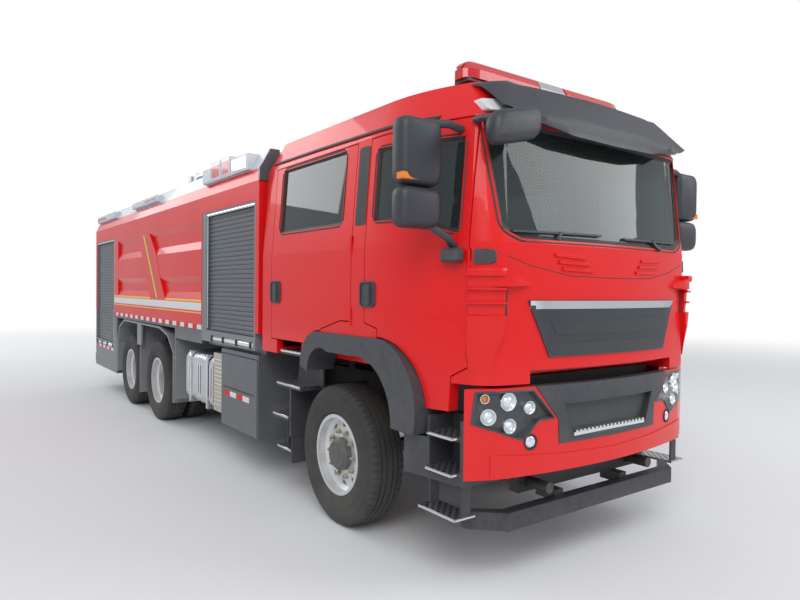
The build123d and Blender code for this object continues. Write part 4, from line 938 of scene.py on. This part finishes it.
arm_ahead, kerb_y = -1.22, front_axle_y - 1.56
mirror_y = front_axle_y + arm_ahead
mirror_glass = grained_finish("mirror_glass", (0.75, 0.78, 0.8), 0.05, metallic=0.95, grain=200, depth=0.00001,
                              dust=0, wear=0, uneven=0.05)
amber = sprayed_finish("amber_lens", (0.85, 0.22, 0.01), roughness=0.12, coat=0.6, dust=0.1)
corner_pads, kerb = bmesh.new(), bmesh.new()
pad = on_side(rounded(oblong(-1.470, 1.908, -1.392, 1.992), 0.02))
for side, sign in sides:
    heads, glass, repeater = (bmesh.new() for _ in range(3))
    low_x, high_x = sorted((sign * 1.225, sign * 1.515))
    inner_x, outer_x = sorted((sign * 1.250, sign * 1.490))
    for low_z, high_z in ((2.340, 2.722), (2.100, 2.334)):
        add_pod(heads, (low_x, mirror_y - 0.075, low_z), (high_x, mirror_y + 0.045, high_z), 0.06)
        pane = rounded(oblong(inner_x, low_z + 0.03, outer_x, high_z - 0.03), 0.045)
        add_rings(glass, [[(x, mirror_y + back, z) for x, z in pane] for back in (0.042, 0.0475)])
    for foot, head in (((1.060, -0.04, 2.700), (1.300, -0.02, 2.700)), ((1.060, -0.04, 1.962), (1.300, -0.02, 2.13))):
        middle = (0.5 * (foot[0] + head[0]), -0.055, 0.5 * (foot[2] + head[2]) + 0.01)
        add_tube(heads, [(sign * x, mirror_y + y, z) for x, y, z in (foot, middle, head)], 0.024)
    add_block(heads, (1.11, arm_ahead - 0.13, 1.915), (1.19, arm_ahead + 0.01, 1.998), 0.012, sign)
    piece = finished(heads, f"mirror_heads_{side}", dark_plastic, f"front_door_{side}")
    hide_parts(f"mirror_{side}")
    finished(glass, f"mirror_glass_{side}", mirror_glass, f"front_door_{side}")
    add_block(repeater, (1.400, arm_ahead - 0.070, 2.362), (1.517, arm_ahead - 0.01, 2.402), 0.004, sign)
    finished(repeater, f"mirror_repeater_{side}", amber, f"front_door_{side}")
    add_patch(corner_pads, side_skin(sign, "cab_shell"), pad, 0.016)
finished(corner_pads, "corner_pads", dark_plastic, "cab")
add_pod(kerb, (-1.118, kerb_y - 0.05, 2.590), (-0.742, kerb_y + 0.055, 2.785), 0.08)
for vertex in kerb.verts:
    vertex.co.z += 0.24 * (vertex.co.x + 0.93)
add_tube(kerb, [(-1.062, kerb_y + 0.02, 2.715), (-1.056, kerb_y + 0.12, 2.735), (-1.035, kerb_y + 0.215, 2.745)], 0.022)
piece = finished(kerb, "kerb_mirror_head", dark_plastic, "cab")
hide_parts("kerb_mirror")

# Bumper lamps
# Dark housings sunk into the bumper with round chromed lamps, an amber indicator and a clear cover, and
# a fog lamp below each. They take the place of the plain CAD lamp blocks.
lamp_housing = grained_finish("lamp_housing", (0.05, 0.052, 0.058), 0.3, grain=900, depth=0.0001, dust=0.05, wear=0)
reflector = grained_finish("reflector", (0.82, 0.83, 0.85), 0.08, metallic=1.0, grain=300, depth=0.0004, dust=0,
                           wear=0, uneven=0.05)
lamp_glass = grained_finish("lamp_glass", (0.72, 0.76, 0.8), 0.08, metallic=0.7, coat=0.8, grain=160, depth=0.0006,
                            dust=0, wear=0)
clear_cover, shader = glass_finish("clear_cover", 1.0, 3.0, (0.93, 0.95, 0.96), (0.97, 0.98, 0.98))
feed(clear_cover.node_tree, shader.inputs, IOR=1.2)
lamp_outline = ((1.072, 1.168), (0.704, 1.168), (0.536, 0.988), (0.657, 0.983), (0.773, 0.874), (1.092, 0.988))
# Columns: X, height, radius and kind of each lamp
lamp_table = ((1.020, 1.128, 0.030, "amber"), (0.872, 1.106, 0.056, "clear"), (0.722, 1.062, 0.042, "clear"),
              (1.000, 1.022, 0.050, "clear"), (0.862, 0.962, 0.046, "clear"))
# Columns: depth out of the bumper, radius
fog_profile = ((-0.006, 0.050), (0.004, 0.050), (0.007, 0.046), (0.004, 0.038), (0.0, 0.036))
# The housings end here so that the tilting cab clears them
housing_back = front_axle_y - 1.388
lamp_skin = Skin((0, 1, 0), "headlamps", "bumper", "bumper_centre")
bumper_skin = Skin((0, 1, 0), "bumper")
for side, sign in sides:
    housing, rims, bulbs, cover, ambers, fog_ring, fog_lens = (bmesh.new() for _ in range(7))
    outline = on_front(lamp_outline, sign)
    add_patch(housing, lamp_skin, outline, -0.045, sink=0.055)
    add_band(housing, lamp_skin, divided(outline, looped=True), 0.014, 0.001, looped=True, sink=0.05)
    for vertex in housing.verts:
        vertex.co.y = min(vertex.co.y, housing_back)
    for x, z, radius, kind in lamp_table:
        spot, near = lamp_skin.lay((sign * x, 0, z)), lamp_skin.lay((sign * (x - 0.03), 0, z))
        facing = Vector(((spot.y - near.y) / 0.03 * sign, -1, 0)).normalized()
        seat = spot - 0.046 * facing
        add_turned(rims, seat, facing, ((0, radius), (0.030, radius), (0.034, radius - 0.002), (0.034, radius - 0.006),
                                        (0.026, radius - 0.009), (0.012, radius * 0.55)), 28)
        add_dome(ambers if kind == "amber" else bulbs, seat + 0.014 * facing, facing, radius * 0.62, radius * 0.42)
    add_patch(cover, lamp_skin, outline, 0.003, sink=0.0)
    finished(housing, f"lamp_housing_{side}", lamp_housing)
    finished(bulbs, f"lamp_lenses_{side}", lamp_glass)
    finished(ambers, f"lamp_indicator_{side}", amber)
    finished(rims, f"lamp_reflectors_{side}", reflector)
    piece = finished(cover, f"lamp_cover_{side}", clear_cover)
    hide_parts("headlamps")
    spot = bumper_skin.lay((sign * 0.72, 0, 0.86))
    facing = Vector((sign * 0.22, -1, 0)).normalized()
    add_turned(fog_ring, spot, facing, fog_profile, 24)
    add_dome(fog_lens, spot, facing, 0.035, 0.012)
    finished(fog_ring, f"fog_ring_{side}", seal_rubber)
    finished(fog_lens, f"fog_lens_{side}", lamp_glass)

# Bumper middle and lip
# A punched mesh behind the opening of the dark middle piece, a bright toothed step in its foot, and the
# rolled lower edge of the steel bumper.
lip, bumper_mesh, step = (bmesh.new() for _ in range(3))
add_patch(lip, bumper_skin, on_front(((-0.99, 0.664), (0.99, 0.664), (0.99, 0.802), (0.5, 0.768), (0, 0.752),
                                      (-0.5, 0.768), (-0.99, 0.802))), 0.008)
add_patch(bumper_mesh, Skin((0, 1, 0), "bumper_centre"),
          on_front(((-0.372, 0.884), (0.372, 0.884), (0.455, 1.062), (-0.455, 1.062))), 0.002)
ledge, tooth_count, tooth_gap = -1.563, 19, 0.039
add_block(step, (-0.372, ledge, 0.858), (0.372, ledge + 0.10, 0.884), 0.003)
for tooth in range(tooth_count):
    x = -0.351 + tooth_gap * tooth
    add_block(step, (x - 0.009, ledge - 0.004, 0.880), (x + 0.009, ledge + 0.03, 0.897))
finished(lip, "bumper_lip", signal_red)
finished(bumper_mesh, "bumper_mesh", grille_mesh)
finished(step, "bumper_step", chrome)

# Cab steps
# Dark plastic step boxes with bright treads, pressed from sheet with rows of holes and folded lips and
# riveted on.
# The tread plates, their holes dark with painted shade
tread_plate = punched_finish("tread_plate", (0.55, 0.57, 0.59), (0.02, 0.02, 0.022), 27.0, 0.33)
# Columns: X from and to, Y from and to behind the front axle, top
treads = ((1.018, 1.222, 0.415, 0.810, 1.243), (1.018, 1.227, 0.450, 0.870, 0.968), (1.018, 1.232, 0.645, 0.930, 0.703),
          (0.985, 1.190, -1.352, -1.112, 0.908), (0.985, 1.198, -1.352, -1.112, 0.698),
          (1.030, 1.190, -1.380, -1.040, 0.448), (0.990, 1.200, 0.650, 0.910, 0.423))
sheet = 0.004
for side, sign in sides:
    plates, lips = bmesh.new(), bmesh.new()
    for inner, outer, front, rear, top in treads:
        add_block(plates, (inner, front, top - sheet), (outer, rear, top), 0.001, sign)
        add_block(lips, (outer - sheet, front, top - 0.016), (outer, rear, top + 0.002), 0.001, sign)
        for y in (front, rear - sheet):
            add_block(lips, (inner, y, top - 0.014), (outer, y + sheet, top + 0.001), 0.001, sign)
    finished(plates, f"tread_plates_{side}", tread_plate)
    finished(lips, f"tread_lips_{side}", chrome)

# Body
# Steel lockers in dark grey under red embossed panels, a white parapet, and slatted aluminium shutters
# that run in bright frames and close on grips with small latches.
skirt_grey = sprayed_finish("skirt_grey", (0.085, 0.095, 0.108), roughness=0.35, dust=0.25)
fender_grey = sprayed_finish("fender_grey", (0.23, 0.24, 0.26), roughness=0.4, coat=0.2, dust=0.3)
parapet_white = sprayed_finish("parapet_white", (0.62, 0.65, 0.7), roughness=0.35, dust=0)
shutter_coat = sprayed_finish("shutter_coat", (0.125, 0.13, 0.145), roughness=0.42, coat=0.1, dust=0.2)
frame_grey = sprayed_finish("frame_grey", (0.19, 0.2, 0.215), roughness=0.35, coat=0.2, dust=0.15)
bright_metal = grained_finish("bright_metal", (0.55, 0.56, 0.58), 0.35, metallic=0.9, grain=1500, depth=0.0001,
                              dust=0.15, wear=0.1)
warm_steel = grained_finish("warm_steel", (0.50, 0.46, 0.40), 0.42, metallic=0.8, grain=1500, depth=0.0001,
                            dust=0.2, wear=0.1)
dress(skirt_grey, "front_locker", "tank_body", "pump_room", "lower_lockers", *pair("step_flap"))
dress(fender_grey, "rear_fenders")
dress(parapet_white, "roof_rails", "roof_lamps")
dress(shutter_coat, "roller_shutters")
dress(frame_grey, "shutter_frames")
dress(bright_metal, "rear_ladder", "fuel_tank", "monitor_swivel", "monitor_barrel")
dress(warm_steel, "exhaust_box")
# The raised emblem field, closing the panel's long channels: Y behind the front axle, height
emblem = ((5.330, 2.470), (4.700, 1.600), (4.020, 1.600), (4.240, 1.860), (4.420, 2.180), (4.755, 2.470))
end_cap = ((1.060, 2.713), (1.252, 2.713), (1.252, 2.82), (1.215, 2.88), (1.150, 3.000), (1.060, 3.000))
body_front_y = front_axle_y + 1.210
frame_strips = (((1.31, 2.507), (2.53, 2.507)), ((2.515, 2.50), (2.515, 1.33)), ((6.82, 2.490), (8.08, 2.490)),
                ((6.80, 2.48), (6.80, 0.86)))
for side, sign in sides:
    field, cap, grips, latches = (bmesh.new() for _ in range(4))
    add_rings(field, [[(sign * x, front_axle_y + y, z) for y, z in emblem] for x in (1.215, 1.249, 1.253)])
    add_rings(cap, [[(sign * x, body_front_y + y, z) for x, z in end_cap] for y in (-0.014, -0.012, 0.012, 0.014)])
    for y0, y1, z in ((1.33, 2.41, 1.232), (6.84, 8.08, 0.805)):
        add_block(grips, (1.238, y0, z - 0.018), (1.252, y1, z + 0.018), 0.004, sign)
        for share in (0.03, 0.34, 0.66, 0.95):
            y = y0 + share * (y1 - y0)
            add_block(latches, (1.24, y, z - 0.03), (1.262, y + 0.026, z + 0.03), 0.004, sign)
    frame_skin = side_skin(sign, "shutter_frames")
    for path in frame_strips:
        add_band(grips, frame_skin, side_run(*path), 0.022, 0.004)
    finished(field, f"emblem_field_{side}", signal_red)
    finished(cap, f"roof_end_cap_{side}", skirt_grey)
    finished(grips, f"shutter_grips_{side}", chrome)
    finished(latches, f"shutter_latches_{side}", seal_rubber)

# Stripes and markers
# Self-adhesive bands along both flanks, a chequered sill band, red and white tapes, of which some are on
# the step flaps, and amber markers on the mudguards.
stripe_white = sprayed_finish("stripe_white", (0.72, 0.74, 0.75), roughness=0.4, coat=0.2, dust=0.05)
stripe_yellow = sprayed_finish("stripe_yellow", (0.85, 0.55, 0.02), roughness=0.4, coat=0.2, dust=0.05)
stripe_lime = sprayed_finish("stripe_lime", (0.55, 0.72, 0.05), roughness=0.4, coat=0.2, dust=0.05)
tape_red = sprayed_finish("tape_red", (0.62, 0.01, 0.015), roughness=0.45, coat=0.1, dust=0.1)
band_from, band_to = 2.70, 6.82
chequer_count, chequer_gap, tape_width, tape_length = 14, 0.293, 0.05, 0.155
film = {"rise": 0.0012, "sink": 0.0015}
lime_band = ((5.00, 2.455), (5.05, 2.455), (4.41, 1.62), (4.36, 1.62))
for side, sign in sides:
    white_band, yellow_band, lime, whites, reds = (bmesh.new() for _ in range(5))
    flap_whites, flap_reds, flap_lines, markers = (bmesh.new() for _ in range(4))
    flank = side_skin(sign, "side_panels", "tank_body", "front_locker", "pump_room", "lower_lockers", "shutter_frames")
    flap, fender = side_skin(sign, f"step_flap_{side}", "front_locker"), side_skin(sign, "rear_fenders")
    for shape, z, width in ((white_band, 1.545, 0.086), (yellow_band, 1.608, 0.022), (yellow_band, 1.478, 0.014)):
        add_band(shape, flank, side_run((band_from, z), (band_to, z)), width, **film)
    add_rings(lime, [[(sign * x, front_axle_y + y, z) for y, z in lime_band] for x in (1.251, 1.2545)])
    for number in range(chequer_count):
        y = 2.69 + chequer_gap * number
        add_band(whites, flank, on_side(((y, 1.325), (y + 0.145, 1.325))), tape_width, **film)
        add_band(reds, flank, on_side(((y + 0.147, 1.325), (y + 0.291, 1.325))), tape_width, **film)
    for y0, y1, z, skin, shapes in ((1.41, 2.03, 0.722, flap, (flap_whites, flap_reds)),
                                    (6.86, 8.06, 0.744, flank, (whites, reds))):
        count = round((y1 - y0) / tape_length)
        for number in range(count):
            start, end = (y0 + (y1 - y0) * (number + share) / count for share in (0, 0.98))
            add_band(shapes[number % 2], skin, on_side(((start, z), (end, z))), tape_width, **film)
    add_band(flap_lines, flap, side_run((1.30, 0.780), (2.05, 0.780)), 0.012, 0.0008, sink=0.0015)
    for y, z in ((6.42, 1.11), (3.71, 1.08)):
        wall_x = abs(fender.lay((0, front_axle_y + y, z)).x)
        add_block(markers, (wall_x, y - 0.05, z - 0.018), (wall_x + 0.012, y + 0.05, z + 0.018), 0.005, sign)
    finished(white_band, f"white_stripe_{side}", stripe_white)
    finished(yellow_band, f"yellow_stripe_{side}", stripe_yellow)
    finished(lime, f"lime_stripe_{side}", stripe_lime)
    finished(whites, f"tape_white_{side}", stripe_white)
    finished(reds, f"tape_red_{side}", tape_red)
    finished(flap_whites, f"flap_tape_white_{side}", stripe_white, f"step_flap_{side}")
    finished(flap_reds, f"flap_tape_red_{side}", tape_red, f"step_flap_{side}")
    finished(flap_lines, f"flap_line_{side}", seal_rubber, f"step_flap_{side}")
    finished(markers, f"side_markers_{side}", amber)

# Roof lamps
# Long work lamps screwed along both parapets: white housings, clear lenses, and red bars across some of
# them.
lamp_bar_red = sprayed_finish("lamp_bar_red", (0.6, 0.008, 0.012), roughness=0.15, coat=0.6, dust=0)
# Columns: Y from and to behind the front axle, foot and head, whether it has a red bar
roof_lamps = ((1.50, 1.90, 2.85, 3.00, False), (1.93, 2.15, 2.85, 3.04, True), (2.18, 2.44, 2.85, 3.04, True),
              (2.46, 2.70, 2.85, 3.00, False), (4.46, 5.00, 2.87, 2.95, True), (5.04, 5.70, 2.87, 2.95, False),
              (6.80, 7.40, 2.85, 2.95, False), (7.44, 8.10, 2.85, 2.95, True))
for side, sign in sides:
    lenses, red_bars = bmesh.new(), bmesh.new()
    for front, rear, low, high, barred in roof_lamps:
        add_block(lenses, (1.236, front + 0.02, low + 0.015), (1.246, rear - 0.02, high - 0.015), 0.003, sign)
        if barred:
            add_block(red_bars, (1.234, front + 0.03, low + 0.03), (1.248, rear - 0.03, high - 0.03), 0.003, sign)
    finished(lenses, f"roof_lamp_lenses_{side}", lamp_clear)
    finished(red_bars, f"roof_lamp_bars_{side}", lamp_bar_red)

# Tank straps and exhaust cover
# Bright steel straps over black rubber bands round the fuel tank, and louvres pressed into the cover of
# the exhaust box.
straps, strap_pads, louvres = (bmesh.new() for _ in range(3))
flank = Skin((1, 0, 0), "fuel_tank", "exhaust_box")
for y in (2.545, 2.62, 2.87, 2.94, 3.16, 3.24):
    path = on_side([(y, z) for z in (0.475, 0.52, 0.60, 0.75, 0.88, 0.97, 1.015)])
    add_band(strap_pads, flank, path, 0.046, 0.003)
    add_band(straps, flank, path, 0.030, 0.007)
for row in range(12):
    z = 0.545 + 0.042 * row
    add_band(louvres, flank, on_side(((2.16, z), (2.386, z))), 0.018, 0.004)
finished(strap_pads, "tank_strap_pads", seal_rubber)
finished(straps, "tank_straps", chrome)
finished(louvres, "exhaust_louvres", warm_steel)

# Rear lamps
# Red and amber plastic lamp units, screwed on low at the rear corners above the black bar.
rear_red, rear_amber = bmesh.new(), bmesh.new()
rear_face = Skin((0, -1, 0), "pump_room", "lower_lockers", "underrun_bars", "side_panels")
for side, sign in sides:
    for x, shape in ((0.98, rear_red), (1.10, rear_amber)):
        add_patch(shape, rear_face, on_front(rounded(oblong(x - 0.05, 0.84, x + 0.05, 0.96), 0.015), sign), 0.012)
finished(rear_red, "rear_lamps_red", lamp_bar_red)
finished(rear_amber, "rear_lamps_amber", amber)
